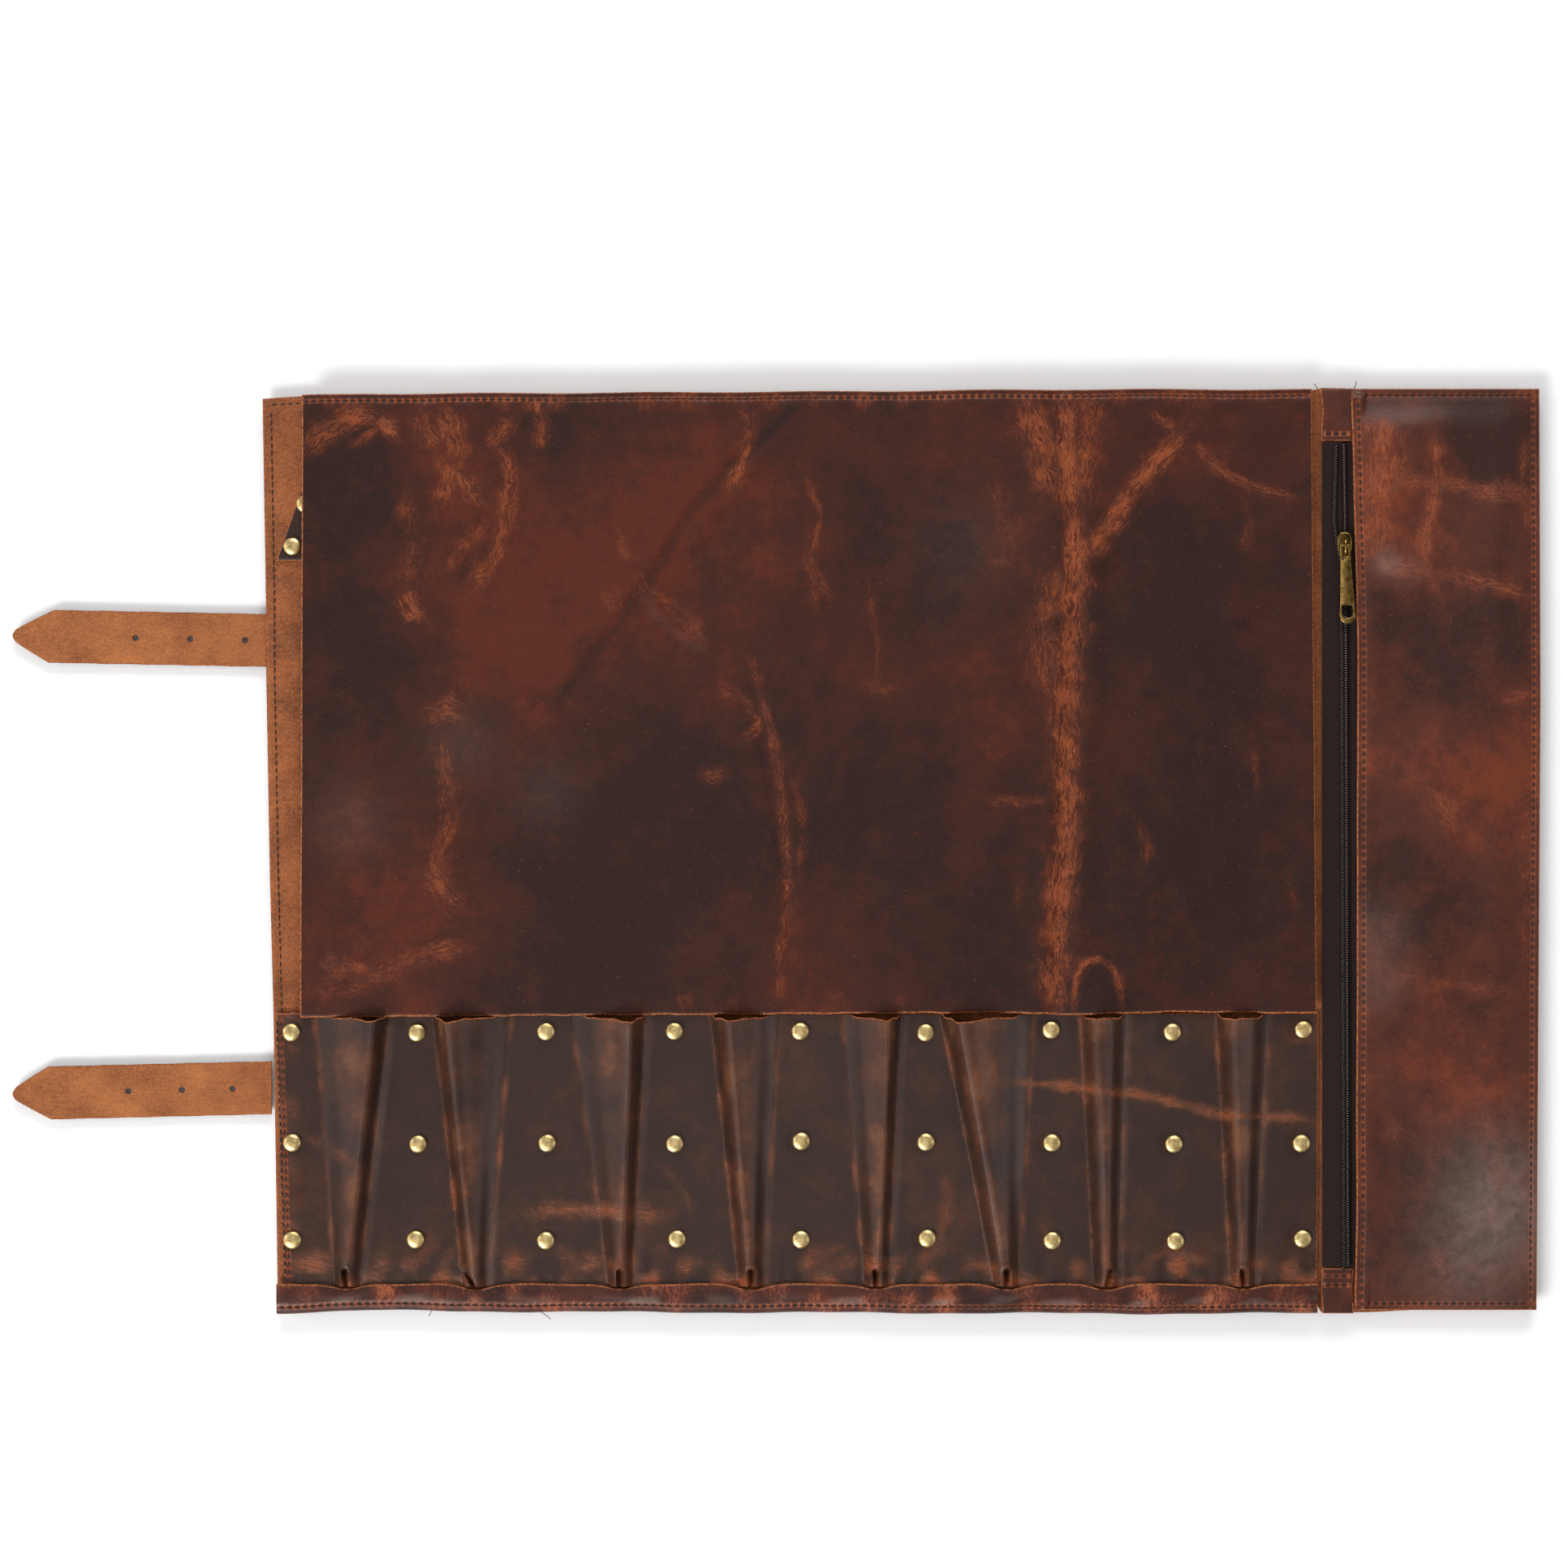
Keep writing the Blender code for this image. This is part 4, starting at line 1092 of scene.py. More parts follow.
# Painted sheen: grey haze patches painted where reflections would show, as (strength, radius, x, y)
FLAP_PAINTED_SHEEN = [
    (0.055, 18, -153, 52),
    (0.055, 20, -208, 14),
    (0.04, 18, -112, 30),
    (0.03, 26, 96, 150),
]
GROOVE = ((8, 216), (-36, 172), (-62, 132), (-106, 74))


def groove_frame(x, y, points=GROOVE):
    """Signed distance across a pressed line, and how much of it is left toward its ends."""
    across, along, length = path_frame(x, y, rounded(points, 10))
    return across, smooth(along, 0, length * 0.2) * smooth(along, length, length * 0.75)


def flap_height(x, y):
    z = 0.55 * waves(x, y, 95, 41) + 0.16 * waves(x, y, 26, 42)
    gap, left = groove_frame(x, y)
    z += left * (0.9 * bell(gap - 7, 6) - 1.1 * bell(gap, 3.4))
    gap, left = groove_frame(x, y, ((-137, 176), (-146, 153), (-155, 122)))
    z += left * (0.5 * bell(gap - 6, 4) - 0.9 * bell(gap, 3.2))
    gap, left = groove_frame(x, y, ((-66, 132), (-56, 118), (-40, 104), (-24, 98)))
    z += left * 1.1 * bell(gap, 4.0)
    gap, left = groove_frame(x, y, ((138, 224), (146, 140), (142, 10), (136, -84)))
    z += 0.45 * bell(np.abs(gap) - 9, 6) - 0.6 * bell(gap, 4)
    gap, left = groove_frame(x, y, ((-14, 100), (6, -20), (4, -84)))
    z -= left * 0.4 * bell(gap, 3)
    z += 1.3 * bell(x - 158, 10) * bell(y + 78, 12)
    z += 0.9 * bell(x - 152, 12) * bell(y - 140, 9)
    z -= (0.5 + 0.2 * np.sin(x / 3.1)) * bell(y - far_edge(x) + FLAP_SEAM, 1.6)
    return z


FLAP_SEAM = 3.3


def build_flap():
    v = np.concatenate([[0, 0.0028], np.linspace(0.006, 1, 270)[:-1], [0.9985, 1]])
    for number, start, end in spans(-231.6, 262.9, [f / MM for f in FOLDS[:3]]):
        x_line = with_rims(lines_between(start, end, 1.1), number, 0.6)
        xx, vv = np.meshgrid(x_line, v)
        if number == 1:
            xx = xx - 1.0 * (1 - vv) * (end - xx) / (end - start)
        if number == LAST:
            xx = xx + 2.4 * (1 - vv) * (xx - start) / (end - start)
        near, far = flap_near_edge(xx), far_edge(xx)
        y = near + (far - near) * vv
        z = FLAP_TOP / MM + flap_height(xx, y)
        over = heights(xx, y, z - edge_drop(z, number, 0.9, 0.7)) * MM
        under = heights(xx, y, z - LEATHER / MM) * MM
        seam = heights(y - far + FLAP_SEAM, xx, np.ones_like(xx))
        worn = crease_field(xx, y, FLAP_CREASES)
        fringe = 0.7 * smooth(y, far - 16, far - 2) * np.clip(0.35 + 0.9 * waves(xx, y * 0.3, 24, 44), 0, 1)
        worn = add_wear(worn, fringe, xx, y)
        groove_gap = groove_frame(xx, y)[0]
        # Painted shade: the tone darkens along the pressed groove, where its hollow would lie in shade.
        tone = tone_field(xx, y, FLAP_PATCHES, 0.42) - 0.35 * bell(groove_gap, 3.0)
        materials = [FLAP_GRAIN, SUEDE, EDGE]
        obj = slab(f"flap_{number}", over, under, materials, raw_rims(number, 1), tone, worn, seam)
        add_painted_sheen(obj, tone_field(xx, y, FLAP_PAINTED_SHEEN, 0.0))
        assign(obj, f"flap_{number}", "flap_leather", f"flap_panel_{number}")
        xs = np.linspace(start + 0.3, end - 0.3, int((end - start) / 2))
        ys = far_edge(xs) - FLAP_SEAM
        path = heights(xs, ys, FLAP_TOP / MM + flap_height(xs, ys) + 0.2) * MM
        sew(f"flap_stitches_{number}", path, 0.4, f"flap_{number}")


build_backing()
build_pocket_strip()
build_hem()
build_flap()


# ---------------------------------------------------------------- straps, rivets and sleeve

ALL_RAW = (1, 1, 1, 1)
STRAP_HALF = 13.0
HOLE_RADIUS = 1.5
PUNCH_SIDES = 24
PUNCH_REACH = (-6, 16)  # a punch runs between these heights, right through the strap
# For each strap: tip, root and hole places as (x, y), and how far the point runs back on its two sides
STRAPS = {
    "upper": ((-375.0, 105.8), (-250.35, 103.4), (-314.4, -287.6, -260.6), 20.6, 17.6),
    "lower": ((-375.0, -119.6), (-247.6, -116.6), (-318.0, -291.6, -266.8), 17.6, 19.0),
}


def build_strap(side, low, high):
    (tip_x, tip_y), (root_x, root_y), holes, upper_run, lower_run = STRAPS[side]
    x = np.concatenate([[0, 0.25, 0.7, 1.3], np.linspace(2.2, 22, 28), np.linspace(23, root_x - tip_x, 110)])
    v = np.concatenate([[-1, -0.965], np.linspace(-0.93, 0.93, 34), [0.965, 1]])
    xx, vv = np.meshgrid(x, v)
    run = np.where(vv > 0, upper_run, lower_run)
    blunt = 2.3 * np.sqrt(np.clip(xx / 1.6, 0, 1))
    widening = (STRAP_HALF - 2.3) * np.clip((xx - 0.4) / (run - 0.4), 0, 1) ** 0.93
    half = np.minimum(blunt + widening, STRAP_HALF)
    half = np.maximum(half, 0.5) + 0.08 * np.sin(xx / 3.3) * smooth(xx, 20, 30)
    middle = tip_y + (root_y - tip_y) * xx / (root_x - tip_x)
    y = middle + half * vv
    x_place = tip_x + xx
    wave = 0.35 * smooth(xx, 100, 0) + 0.12 * waves(x_place, y, 34, 51)
    thick = (high - low) / MM
    z = low / MM + thick + wave * smooth(root_x - x_place, 1, 12)
    edge = (np.abs(vv) > 0.99) | (xx < 0.1)
    over = heights(x_place, y, z - 0.35 * edge) * MM
    under = heights(x_place, y, z - thick + 0.2 * edge) * MM
    obj = slab(f"strap_{side}", over, under, [STRAP_SUEDE, FLAP_GRAIN, EDGE], (1, 0, 1, 1), sharp=45)
    for index, hole_x in enumerate(holes):
        share = (hole_x - tip_x) / (root_x - tip_x)
        place = (hole_x, tip_y + (root_y - tip_y) * share)
        angles = np.linspace(0, 2 * math.pi, PUNCH_SIDES, endpoint=False)
        ring = [(place[0] + HOLE_RADIUS * math.cos(a), place[1] + HOLE_RADIUS * math.sin(a)) for a in angles]
        points = [(px * MM, py * MM, pz * MM) for pz in PUNCH_REACH for px, py in ring]
        faces = band(0, PUNCH_SIDES, PUNCH_SIDES) + caps(0, PUNCH_SIDES, PUNCH_SIDES)
        punch = make_object(f"punch_{side}_{index}", points, faces, [EDGE])
        cut = obj.modifiers.new("hole", "BOOLEAN")
        cut.operation = "DIFFERENCE"
        cut.object = punch
        cut.solver = "EXACT"
    mesh = bpy.data.meshes.new_from_object(obj.evaluated_get(bpy.context.evaluated_depsgraph_get()))
    obj.modifiers.clear()
    obj.data = mesh
    for index in range(len(holes)):
        bpy.data.objects.remove(bpy.data.objects[f"punch_{side}_{index}"])
    mesh.attributes.remove(mesh.attributes["rest"])
    keep_rest(obj)
    count = len(mesh.vertices)
    spread_attribute(mesh, "tone", "FLOAT", np.full(count, 0.2))
    for name in ("strand", "seam"):
        spread_attribute(mesh, name, "FLOAT_VECTOR", np.zeros((count, 3)))
    assign(obj, f"strap_{side}", "suede_leather", f"strap_{side}")


CAP_RADIUS = 4.4
CAP_HEIGHT = 2.1
# A rivet's tail and shaft as (radius, height above its base)
RIVET_STEPS = [(0.0, 0.0), (3.4, 0.0), (3.8, 0.25), (3.8, 0.8), (3.5, 0.9), (1.6, 0.9)]


def build_rivet(node):
    low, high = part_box(node)
    x, y = (low[0] + high[0]) / 2, (low[1] + high[1]) / 2
    base, top = low[2] / MM, high[2] / MM
    seat = top - CAP_HEIGHT
    profile = [(r, base + z) for r, z in RIVET_STEPS]
    profile += [(1.6, seat), (CAP_RADIUS - 0.45, seat)]
    profile += [(CAP_RADIUS - 0.12, seat + 0.08), (CAP_RADIUS, seat + 0.3)]
    for angle in range(12, 90, 6):
        a = math.radians(angle)
        profile.append((CAP_RADIUS * math.cos(a) ** 0.82, seat + 0.3 + 1.8 * math.sin(a)))
    profile.append((0.0, top))
    obj = turned(node + "_cap", [(r * MM, z * MM) for r, z in profile], (x, y), BRASS)
    bodies = frame["record"]["behaviour"]["bodies"]
    assign(obj, next(body for body in bodies if node in bodies[body]), "antique_brass", node)


def build_sleeve():
    low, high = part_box("inner_sleeve")
    slant = 24.8  # how far each side leans in, in mm
    y_line = lines_between(low[1] / MM, high[1] / MM, 1.6, 0.4)
    u = np.concatenate([[0, 0.004], np.linspace(0.012, 0.988, 80), [0.996, 1]])
    uu, yy = np.meshgrid(u, y_line)
    share = (yy - low[1] / MM) / ((high[1] - low[1]) / MM)
    left, right = low[0] / MM + slant * share, high[0] / MM - slant * share
    x = left + (right - left) * uu
    z = high[2] / MM - 0.12 + 0.1 * waves(x, yy, 30, 61)
    edge = (uu < 0.001) | (uu > 0.999) | (share < 0.001) | (share > 0.999)
    over = heights(x, yy, z - 0.4 * edge) * MM
    under = heights(x, yy, z - 1.6) * MM
    tone = tone_field(x, yy, [], -0.25)
    worn, seam = np.zeros(x.shape + (3,)), heights(x, yy, x * 0)
    obj = slab("sleeve", over, under, [POCKET_GRAIN, SUEDE, EDGE], ALL_RAW, tone, worn, seam)
    assign(obj, "panel_1", "pocket_leather", "inner_sleeve")


# ---------------------------------------------------------------- zip

TOOTH_PITCH = 1.2
COIL_RISE = 1.05
COIL_HALF = 1.05  # from the zip's middle to a closed tooth row's middle
ZIP_NEAR = -203.8
SLIDER_Y = 141  # where the rows part


def row_middle(y, side):
    """Where a tooth row's middle runs, in mm: together below the slider and parted above it."""
    places = (SLIDER_Y, 150, 162, 201)
    closed = np.interp(y, (-205, SLIDER_Y), (280.2, 278.9))
    parted = np.interp(y, places, (278.9, 277.6, 276.9, 277.2))
    spread = np.interp(y, places, (COIL_HALF, 1.9, 2.75, 1.9))
    middle = np.where(y < SLIDER_Y, closed, parted)
    return middle + side * np.where(y < SLIDER_Y, COIL_HALF, spread)


def build_tape(side, sign, outer, tape_z):
    y_line = lines_between(-204.3, 200.7, 1.6)
    uu, yy = np.meshgrid(np.linspace(0, 1, 8), y_line)
    inner = 279.0 + sign * 0.5
    x = outer + (inner - outer) * uu if sign < 0 else inner + (outer - inner) * uu
    z = tape_z + 0.6 + 0.12 * waves(x, yy, 25, 70 + sign) * (1 - uu if sign < 0 else uu)
    over = heights(x, yy, z) * MM
    under = heights(x, yy, z - 0.6) * MM
    tape = slab(f"zip_tape_{side}", over, under, [TAPE, TAPE, TAPE])
    assign(tape, "panel_5", "zip_tape", f"zip_stringer_{side}")


def build_coil(side, sign, tape_z):
    """A row of separate coil turns, each a short arched bar across the row."""
    points, faces = [], []
    sides, stations = 6, 5
    reach = 1.3
    for i in range(int((200.2 - ZIP_NEAR) / TOOTH_PITCH)):
        y = ZIP_NEAR + TOOTH_PITCH * (i + (0.5 if sign > 0 else 0.0))
        middle = float(row_middle(np.array(y), sign))
        middle = min(middle, 278.6) if sign < 0 and y > SLIDER_Y else middle
        first = len(points)
        for station in range(stations):
            t = -1 + 2 * station / (stations - 1)
            cx, cy = middle + reach * t, y + 0.28 * t * -sign
            cz = tape_z + 0.75 + COIL_RISE * math.sqrt(max(0.0, 1 - (0.82 * t) ** 2))
            radius = 0.54 * (1 - 0.25 * t * t)
            for k in range(sides):
                a = 2 * math.pi * k / sides
                points.append((cx * MM, (cy + radius * math.cos(a)) * MM, (cz + radius * math.sin(a)) * MM))
        for station in range(stations - 1):
            a, b = first + station * sides, first + (station + 1) * sides
            faces += [(a + k, b + k, b + (k + 1) % sides, a + (k + 1) % sides) for k in range(sides)]
        faces.append(tuple(range(first, first + sides)))
        last = first + (stations - 1) * sides
        faces.append(tuple(range(last, last + sides))[::-1])
    coil = make_object(f"zip_coil_{side}", points, faces, [COIL], sharp=80)
    keep_rest(coil)
    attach(coil, "panel_5")


def build_zip():
    tape_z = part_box("zip_stringer_left")[0][2] / MM
    for side, sign, outer in (("left", -1, 268.4), ("right", 1, 291.6)):
        build_tape(side, sign, outer, tape_z)
        build_coil(side, sign, tape_z)


def leather_patch(name, x_low, x_high, y_low, y_high, z, seams):
    """A small flat piece of grain leather with raw edges. seams are the places of its seams across Y."""
    x_line = lines_between(x_low, x_high, 0.9, 0.4)
    y_line = lines_between(y_low, y_high, 0.9, 0.4)
    xx, yy = np.meshgrid(x_line, y_line)
    xx = xx + 0.3 * np.sin(yy / 3.7) * ((xx < x_low + 0.5) | (xx > x_high - 0.5))
    zz = z + 0.25 * waves(xx, yy, 16, 81)
    gap = np.full(xx.shape, 99.0)
    for place in seams:
        gap = np.minimum(gap, np.abs(yy - place))
    zz = zz - 0.35 * bell(gap, 0.8)
    edge = (xx <= x_line[0] + 0.35) | (xx >= x_line[-1] - 0.35) | (yy <= y_line[0]) | (yy >= y_line[-1])
    over = heights(xx, yy, zz - 0.4 * edge) * MM
    under = heights(xx, yy, zz - 1.4) * MM
    tone = tone_field(xx, yy, [], 0.35)
    worn = heights(xx, yy, 0.3 * smooth(waves(xx, yy, 14, 83), 0, 1))
    seam = heights(gap, xx, gap * 0 + 1)
    obj = slab(name, over, under, [FRONT_GRAIN, SUEDE, EDGE], ALL_RAW, tone, worn, seam)
    for index, place in enumerate(seams):
        path = heights(np.linspace(x_low + 1, x_high - 1, 8), place, z + 0.1) * MM
        sew(f"{name}_stitches_{index + 1}", path, 0.36, "panel_5")
    return obj


def build_patches():
    for end, seams in (("top", [204.6]), ("bottom", [-208.4, -213.0])):
        low, high = [[c / MM for c in corner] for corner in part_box(f"zip_patch_{end}")]
        obj = leather_patch(f"zip_end_{end}", low[0], high[0], low[1], high[1], high[2] - 0.2, seams)
        assign(obj, "panel_5", "front_leather", f"zip_patch_{end}")


def build_slider():
    low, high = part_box("zip_slider")
    x = (low[0] + high[0]) / 2 / MM
    y = (low[1] + high[1]) / 2 / MM
    half_l = (high[1] - low[1]) / 2 / MM
    base = low[2] / MM
    outline = []
    for i in range(48):
        a = 2 * math.pi * i / 48
        reach = half_l * math.sin(a)
        width = 4.25 * abs(math.cos(a)) ** 0.55 * (0.84 + 0.16 * math.sin(a))
        outline.append(((x + math.copysign(width, math.cos(a))) * MM, (y + reach) * MM))
    parts = []
    for tag, z0, z1 in (("base", base, base + 1.2), ("cover", base + 4.3, base + 5.6)):
        parts.append(plate(f"slider_{tag}", outline, [], z0 * MM, z1 * MM, 0.42 * MM, OLD_BRASS))
    turns = [math.radians(15 * i) for i in range(24)]
    neck = [((x + 0.42 * math.cos(a)) * MM, (y + 3.6 + 1.4 * math.sin(a)) * MM) for a in turns]
    parts.append(plate("slider_neck", neck, [], (base + 0.9) * MM, (base + 4.6) * MM, 0.05 * MM, OLD_BRASS))
    rim = []
    for px, py in outline:
        rim.append((x * MM + (px - x * MM) * 0.86, y * MM + (py - y * MM) * 0.92, (base + 5.5) * MM))
    parts.append(tube("slider_rim", rim, 0.34 * MM, PULL_BRASS, 8, True))
    arch = []
    for i in range(21):
        t = math.pi * i / 20
        arch_y, arch_z = y - 0.3 + 4.1 * math.cos(t), base + 5.3 + 4.0 * math.sin(t) ** 0.7
        arch.append((x * MM, arch_y * MM, arch_z * MM))
    parts.append(tube("slider_bail", arch, 0.62 * MM, PULL_BRASS, 10))
    slider = merge("slider", parts)
    assign(slider, "zip_slider", "antique_brass", "zip_slider")


def build_pull():
    low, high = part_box("zip_pull")
    x = (low[0] + high[0]) / 2 / MM
    top, bottom = high[1] / MM, low[1] / MM
    middle_z = (low[2] + high[2]) / 2 / MM
    half_top, half_low = 2.6, 4.0
    outline = []
    for corner_x, first in ((x + half_top - 1, 0), (x - half_top + 1, math.pi / 2)):
        quarter = np.linspace(first, first + math.pi / 2, 6)
        outline += [(corner_x + math.cos(a), top - 1 + math.sin(a)) for a in quarter]
    flank = [(2.6, top - 9), (3.0, top - 18), (3.5, bottom + 10)]
    outline += [(x - half, y) for half, y in flank]
    low_end = np.linspace(math.pi, 2 * math.pi, 26)
    outline += [(x + half_low * math.cos(a), bottom + 4.6 + 4.6 * math.sin(a)) for a in low_end]
    outline += [(x + half, y) for half, y in flank[::-1]]
    window = [(x - 1.5, top - 5.6), (x + 1.5, top - 5.6), (x + 1.5, top - 1.2), (x - 1.5, top - 1.2)]
    eye = [(x - 2.5, bottom + 9.0), (x + 2.5, bottom + 9.0)]
    eye += [(x + 2.7 * math.cos(a), bottom + 5.6 + 2.9 * math.sin(a)) for a in np.linspace(0, -math.pi, 16)]
    rings = [[(px * MM, py * MM) for px, py in ring] for ring in (outline, window[::-1], eye)]
    below, above = (middle_z - 0.6) * MM, (middle_z + 0.6) * MM
    about = (x * MM, top * MM)
    pull = plate("pull", rings[0], rings[1:], below, above, 0.3 * MM, PULL_BRASS, 2.0, about)
    assign(pull, "zip_pull", "antique_brass", "zip_pull")


# ---------------------------------------------------------------- zip pocket front

# Creases as (strength, half width, point, point, ...), in mm
FRONT_CREASES = [
    (0.8, 12, (294, 218), (298, 196), (294, 164), (298, 140)),
    (0.7, 5, (322, 212), (324, 180), (318, 148), (326, 124)),
    (0.6, 5.5, (286, 180), (318, 180), (350, 177), (374, 171)),
    (0.65, 5, (290, 140), (322, 136), (350, 131), (374, 124)),
    (0.55, 5, (350, 73), (374, 79)),
    (0.5, 9, (314, 36), (330, 16), (338, 8)),
    (0.4, 7, (290, 100), (290, 20)),
    (0.4, 6, (292, -58), (330, -66), (370, -70)),
    (0.45, 5, (322, -194), (330, -214)),
    (0.5, 4, (366, 210), (370, 150)),
    (0.45, 5, (368, 40), (368, -60)),
    (0.4, 6, (340, -120), (356, -150), (350, -180)),
    (0.35, 8, (300, -120), (306, -160)),
]
# Mottling as (strength, radius, x, y)
FRONT_PATCHES = [
    (-0.7, 26, 350, 196),
    (-0.5, 34, 334, 100),
    (-0.35, 40, 318, -20),
    (0.35, 40, 300, 170),
    (0.4, 44, 350, 40),
    (0.25, 44, 330, -100),
    (-0.3, 40, 330, -170),
]
# Painted sheen: grey haze and highlight patches painted where reflections would show, as (strength, radius,
# x, y)
FRONT_PAINTED_SHEEN = [
    (0.3, 32, 356, -172),
    (0.12, 26, 340, -206),
    (0.1, 15, 295, -40),
    (0.1, 13, 296, -66),
    (0.2, 6, 299, 141),
    (0.08, 9, 308, 138),
]
SEAM_IN = 3.2
FRONT_MIDDLE = 330  # the X in mm at which its near and far edges are taken


def front_left(y):
    return np.interp(y, (-226, -180, 100, 226), (284.2, 284.8, 285.4, 282.4))


def build_front():
    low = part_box("zip_pocket_front")[0]
    v = np.concatenate([[0, 0.0011, 0.0025], np.linspace(0.005, 0.995, 300), [0.9975, 0.9989, 1]])
    u = np.concatenate([[0, 0.0055, 0.012], np.linspace(0.022, 0.978, 72), [0.988, 0.9945, 1]])
    uu, vv = np.meshgrid(u, v)
    near, far = near_edge(FRONT_MIDDLE), far_edge(FRONT_MIDDLE)
    y = near + 0.1 + (far - near + 0.2) * vv
    left, right = front_left(y), right_edge(y) - 0.3
    x = left + (right - left) * uu
    from_left, from_right = x - left, right - x
    from_near, from_far = y - y[0], y[-1] - y
    near_gap = np.minimum(from_near, from_far)
    rise = smooth(from_right, 2.0, 22) * smooth(near_gap, 2.0, 20)
    mouth = smooth(near_gap, 4.0, 26) * smooth(from_left, 60, 0)
    swell = 2.6 + 0.9 * waves(x, y, 55, 91) + 0.1 * waves(x, y, 22, 92)
    z = low[2] / MM + LEATHER / MM + rise * swell + 0.9 * mouth
    z += 1.6 * bell(x - 298, 12) * bell(y - 143, 24)
    z += 0.8 * bell(x - 296, 10) * bell(y - 190, 16)
    over_tape = 11.4 * smooth(from_left, 7.5, 5.5) * smooth(near_gap, 0, 3)
    z = np.maximum(z, over_tape)
    from_edges = (from_left, from_right, from_near, from_far)
    gaps = [np.abs(g - SEAM_IN) for g in from_edges]
    gap = np.minimum.reduce(gaps)
    z = z - 0.45 * bell(gap, 0.9)
    along = np.where(np.minimum(gaps[0], gaps[1]) < np.minimum(gaps[2], gaps[3]), y, x)
    edge = (uu < 0.001) | (uu > 0.999) | (vv < 0.0005) | (vv > 0.9995)
    over = heights(x, y, z - 0.5 * edge) * MM
    under = heights(x, y, z - LEATHER / MM) * MM
    worn = crease_field(x, y, FRONT_CREASES)
    border = 0.45 * bell(np.minimum.reduce(from_edges), 6)
    worn = add_wear(worn, border * np.clip(0.6 + 0.6 * waves(x, y, 30, 93), 0, 1), y, x)
    tone = tone_field(x, y, FRONT_PATCHES, 0.45)
    seam = heights(gap, along, np.full_like(x, 0.6))
    obj = slab("zip_pocket_leather", over, under, [FRONT_GRAIN, SUEDE, EDGE], ALL_RAW, tone, worn, seam)
    add_painted_sheen(obj, tone_field(x, y, FRONT_PAINTED_SHEEN, 0.0))
    assign(obj, "panel_5", "front_leather", "zip_pocket_front")

    def at_seam(gap, values):
        """The value where the distance from an edge passes the seam's. The distance runs either way."""
        return np.interp(SEAM_IN, gap, values) if gap[0] < gap[-1] else np.interp(-SEAM_IN, -gap, values)

    row_range, column_range = range(5, x.shape[0] - 5), range(3, x.shape[1] - 3)
    for tag, gap in (("left", from_left), ("right", from_right)):
        line = [(at_seam(gap[r], x[r]), y[r, 0], at_seam(gap[r], z[r])) for r in row_range]
        sew_front(tag, line)
    for tag, gap, row in (("near", from_near, 5), ("far", from_far, -5)):
        line = [(x[row, c], at_seam(gap[:, c], y[:, c]), at_seam(gap[:, c], z[:, c])) for c in column_range]
        sew_front(tag, line)


def sew_front(tag, line):
    path = (np.array(line) + (0, 0, 0.22)) * MM
    sew(f"front_stitches_{tag}", path, 0.42, "panel_5")


# ---------------------------------------------------------------- buckles


# A tab's leather turns round its bar between these radii, in mm
TAB_OUTER = 2.3
TAB_INNER = 1.3


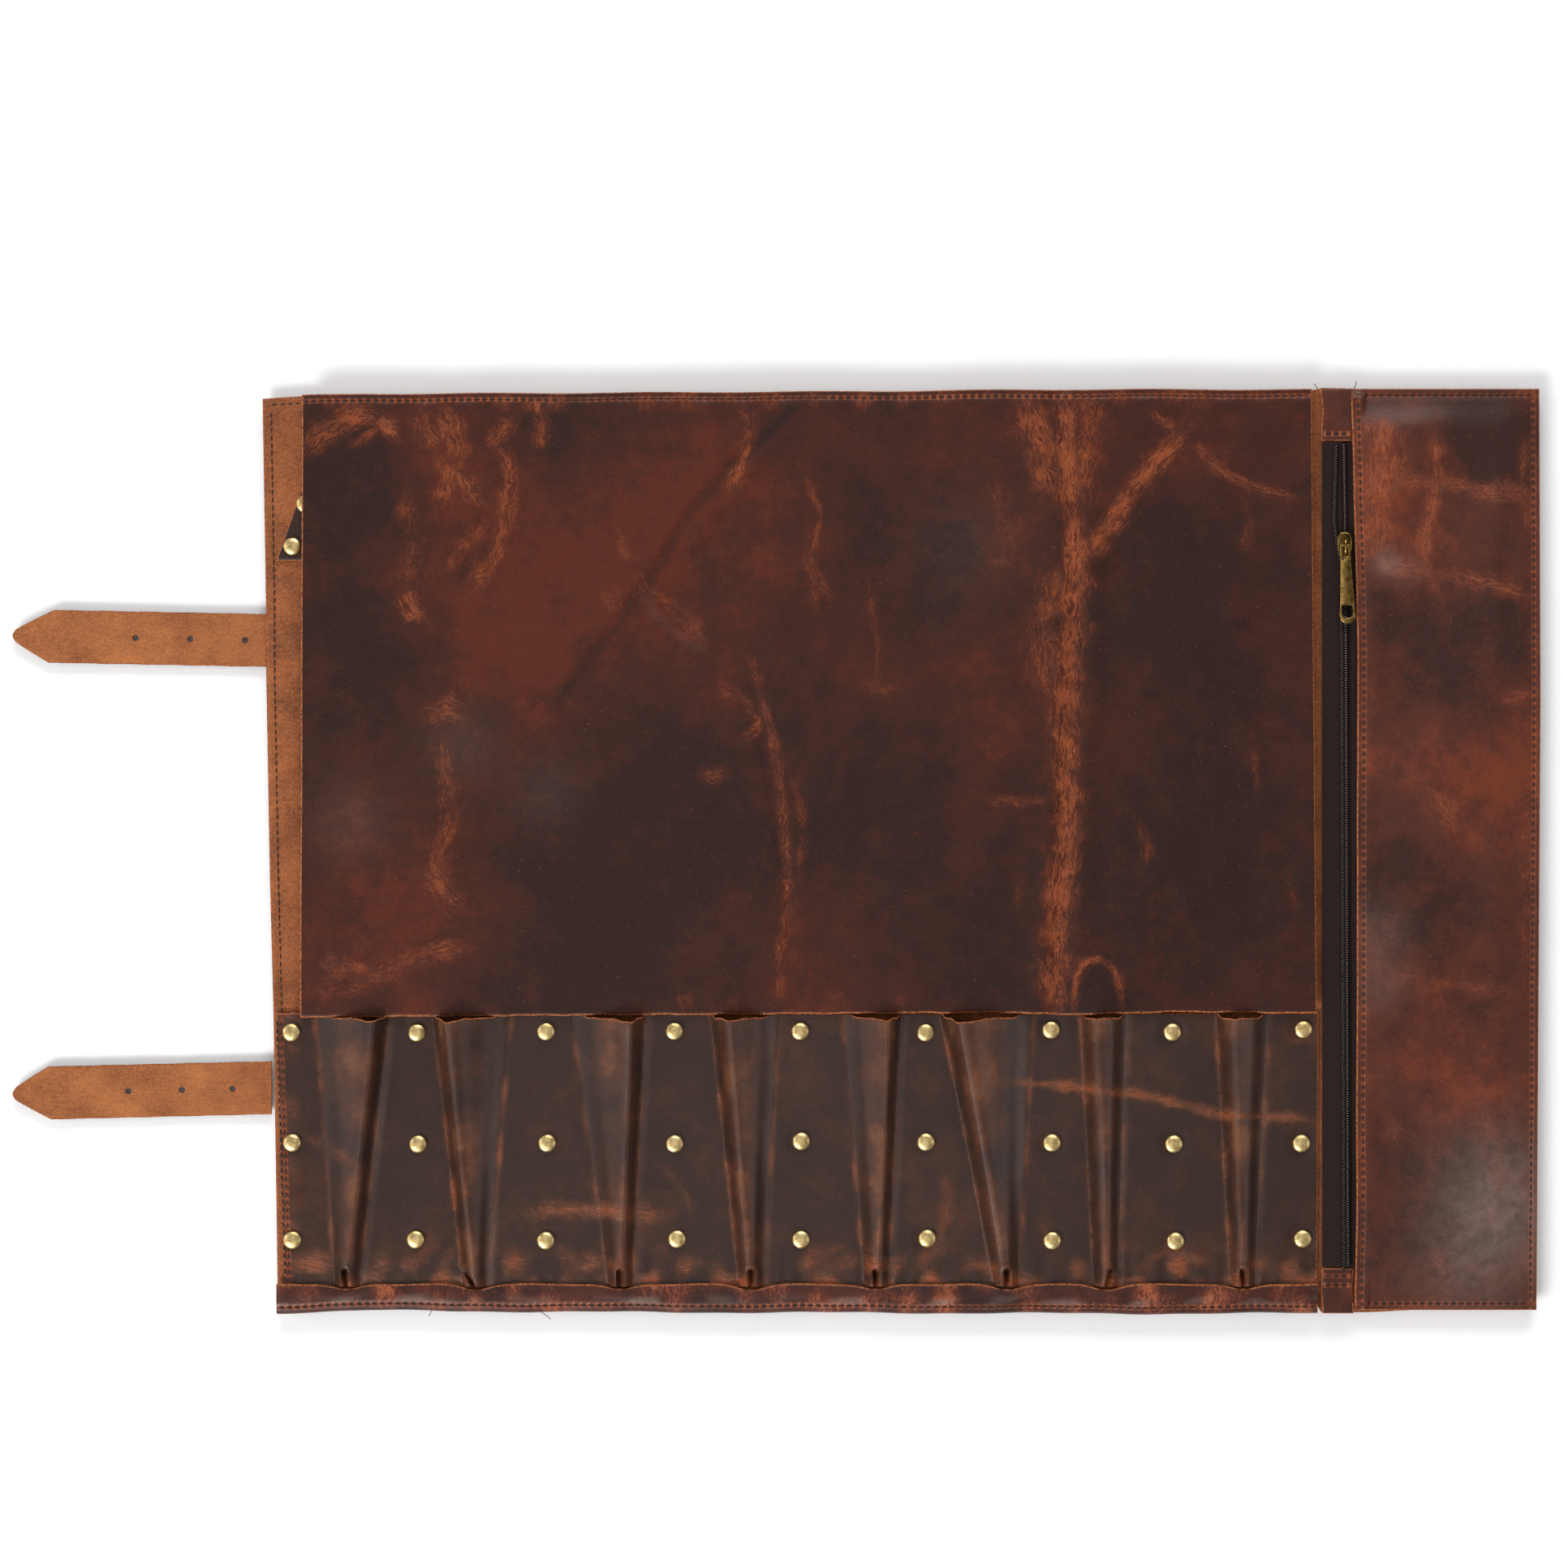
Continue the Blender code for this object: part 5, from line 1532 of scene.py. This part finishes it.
def build_buckle(side):
    low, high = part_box(f"buckle_tab_{side}")
    y_mid, half = (low[1] + high[1]) / 2 / MM, (high[1] - low[1]) / 2 / MM
    bar_x, bar_z = high[0] / MM - TAB_OUTER, (low[2] + high[2]) / 2 / MM
    start = low[0] / MM
    layers = []
    for radius in (TAB_OUTER, TAB_INNER):
        line = [(x, bar_z - radius) for x in np.linspace(start + 12, bar_x, 14)]
        for a in np.radians(np.linspace(-80, 80, 13)):
            line.append((bar_x + radius * math.cos(a), bar_z + radius * math.sin(a)))
        line += [(x, bar_z + radius) for x in np.linspace(bar_x, start, 22)]
        layers.append(np.array(line))
    outer, inner = layers
    pieces = []
    for tag, y0, y1 in (("near", y_mid - half, y_mid - 2.1), ("far", y_mid + 2.1, y_mid + half)):
        y_line = lines_between(y0, y1, 1.2, 0.3)
        over = np.stack([heights(outer[:, 0], y, outer[:, 1]) for y in y_line])
        under = np.stack([heights(inner[:, 0], y, inner[:, 1]) for y in y_line])
        tone, none = np.full(over.shape[:2], 0.3), np.zeros_like(over)
        materials = [FLAP_GRAIN, SUEDE, EDGE]
        name = f"tab_{side}_{tag}"
        pieces.append(slab(name, over * MM, under * MM, materials, (0, 0, 1, 1), tone, none, none))
    tab = merge(f"buckle_tab_leather_{side}", pieces)
    assign(tab, "panel_4", "flap_leather", f"buckle_tab_{side}")

    frame_low, frame_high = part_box(f"buckle_frame_{side}")
    x0, x1 = frame_low[0] / MM, frame_high[0] / MM
    y0, y1 = frame_low[1] / MM, frame_high[1] / MM
    corner, wire = 3.0, 1.25
    ring = []
    for cx, cy, first in (
        (x1 - corner, y1 - corner, 0),
        (x0 + corner - 0.6, y1 - corner, 90),
        (x0 + corner - 0.6, y0 + corner, 180),
        (x1 - corner, y0 + corner, 270),
    ):
        for angle in range(first, first + 91, 15):
            a = math.radians(angle)
            ring.append((cx + (corner - wire) * math.cos(a), cy + (corner - wire) * math.sin(a), bar_z))
    radii = [0.75 if x < x0 + 1.2 else wire for x, _, _ in ring]
    path, sizes = [], []
    for i, point in enumerate(ring):
        following = ring[(i + 1) % len(ring)]
        gap = math.dist(point, following)
        steps = max(1, int(gap / 1.5))
        for s in range(steps):
            t = s / steps
            path.append([p + (q - p) * t for p, q in zip(point, following)])
            sizes.append((radii[i] + (radii[(i + 1) % len(ring)] - radii[i]) * t) * MM)
    loop = tube(f"buckle_loop_{side}", np.array(path) * MM, sizes, OLD_BRASS, 12, True, 0.6)
    assign(loop, "panel_4", "antique_brass", f"buckle_frame_{side}")

    eye_angles = np.radians(np.arange(30, 271, 12))
    eye = [(bar_x + 1.65 * math.cos(a), y_mid, bar_z + 1.65 * math.sin(a)) for a in eye_angles]
    tongue = [(bar_x + 1.2 + t, y_mid, bar_z - 1.65 + 0.2 * t / 17) for t in np.linspace(0, 16.6, 14)]
    prong = tube(f"buckle_tongue_{side}", np.array(eye + tongue) * MM, 0.55 * MM, OLD_BRASS, 10)
    assign(prong, f"prong_{side}", "antique_brass", f"buckle_prong_{side}")


for side in ("upper", "lower"):
    strap_low, strap_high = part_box(f"strap_{side}")
    build_strap(side, strap_low[2], strap_high[2])
    build_buckle(side)
for node in list(frame["nodes"]):
    if "rivet" in node:
        build_rivet(node)
build_sleeve()
build_zip()
build_patches()
build_slider()
build_pull()
build_front()


def build_loose_threads():
    """Short thread ends left standing out at the seams."""
    ends = [
        (-168.8, near_edge(-168.8), -1.4, -3.6, "panel_1"),
        (-116.0, near_edge(-116.0), 5.6, -4.2, "panel_1"),
        (266.4, far_edge(266.4), -1.6, 3.4, "panel_5"),
        (284.0, far_edge(284.0), 1.6, 4.6, "panel_5"),
    ]
    for index, (x, y, dx, dy, body) in enumerate(ends):
        path = []
        root_y = y - 0.6 * math.copysign(1, dy)
        for t in np.linspace(0, 1, 9):
            curl = 0.8 * math.sin(3 * t)
            path.append((x + dx * t + curl * 0.5, root_y + dy * t, 6.6 - 0.9 * t + curl * 0.3))
        thread = tube(f"loose_thread_{index + 1}", np.array(path) * MM, 0.17 * MM, THREAD, 6)
        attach(thread, body)


build_loose_threads()


# ---------------------------------------------------------------- floor, light and camera


FLOOR_HALF = 4
SENSOR = 36.0
CAMERA_HEIGHT = 2.0
SEEN_WIDTH = 0.7728  # how much of the floor the camera sees, in metres


def build_floor():
    mesh = bpy.data.meshes.new("floor")
    corners = [(x * FLOOR_HALF, y * FLOOR_HALF, 0) for x, y in ((-1, -1), (1, -1), (1, 1), (-1, 1))]
    mesh.from_pydata(corners, [], [(0, 1, 2, 3)])
    material = bpy.data.materials.new("floor")
    material.use_nodes = True
    shader = material.node_tree.nodes["Principled BSDF"]
    shader.inputs["Base Color"].default_value = (0.96, 0.96, 0.96, 1)
    shader.inputs["Roughness"].default_value = 0.9
    mesh.materials.append(material)
    floor = bpy.data.objects.new("floor", mesh)
    bpy.context.scene.collection.objects.link(floor)


def add_area(name, place, size, power):
    """A rectangular lamp that points at the middle of the case."""
    light = bpy.data.lights.new(name, "AREA")
    light.shape = "RECTANGLE"
    light.size, light.size_y = size
    light.energy = power
    obj = bpy.data.objects.new(name, light)
    obj.location = place
    obj.rotation_euler = (Vector((0, 0, 0)) - Vector(place)).to_track_quat("-Z", "Y").to_euler()
    bpy.context.scene.collection.objects.link(obj)


build_floor()
add_area("key_near_left", (-1.7, -2.5, 2.3), (2.4, 1.4), 129)
add_area("fill_far", (0.4, 2.9, 2.0), (2.4, 1.4), 79)
add_area("fill_left", (-3.1, 0.5, 1.7), (1.6, 1.8), 24)
add_area("fill_right", (3.1, -0.4, 1.9), (1.6, 1.8), 13)
add_area("strip_overhead", (0.0, 0.0, 2.7), (0.3, 2.2), 4.4)
world = bpy.data.worlds.new("world")
world.use_nodes = True
world.node_tree.nodes["Background"].inputs["Color"].default_value = (1, 1, 1, 1)
world.node_tree.nodes["Background"].inputs["Strength"].default_value = 0.18
bpy.context.scene.world = world
bpy.context.scene.view_settings.view_transform = "Standard"

camera_data = bpy.data.cameras.new("camera")
camera_data.sensor_width = SENSOR
camera_data.lens = SENSOR * CAMERA_HEIGHT / SEEN_WIDTH
camera = bpy.data.objects.new("camera", camera_data)
camera.location = (0.0044, 0.0328, CAMERA_HEIGHT)
camera.rotation_euler = (0, 0, 0)
bpy.context.scene.collection.objects.link(camera)
bpy.context.scene.camera = camera
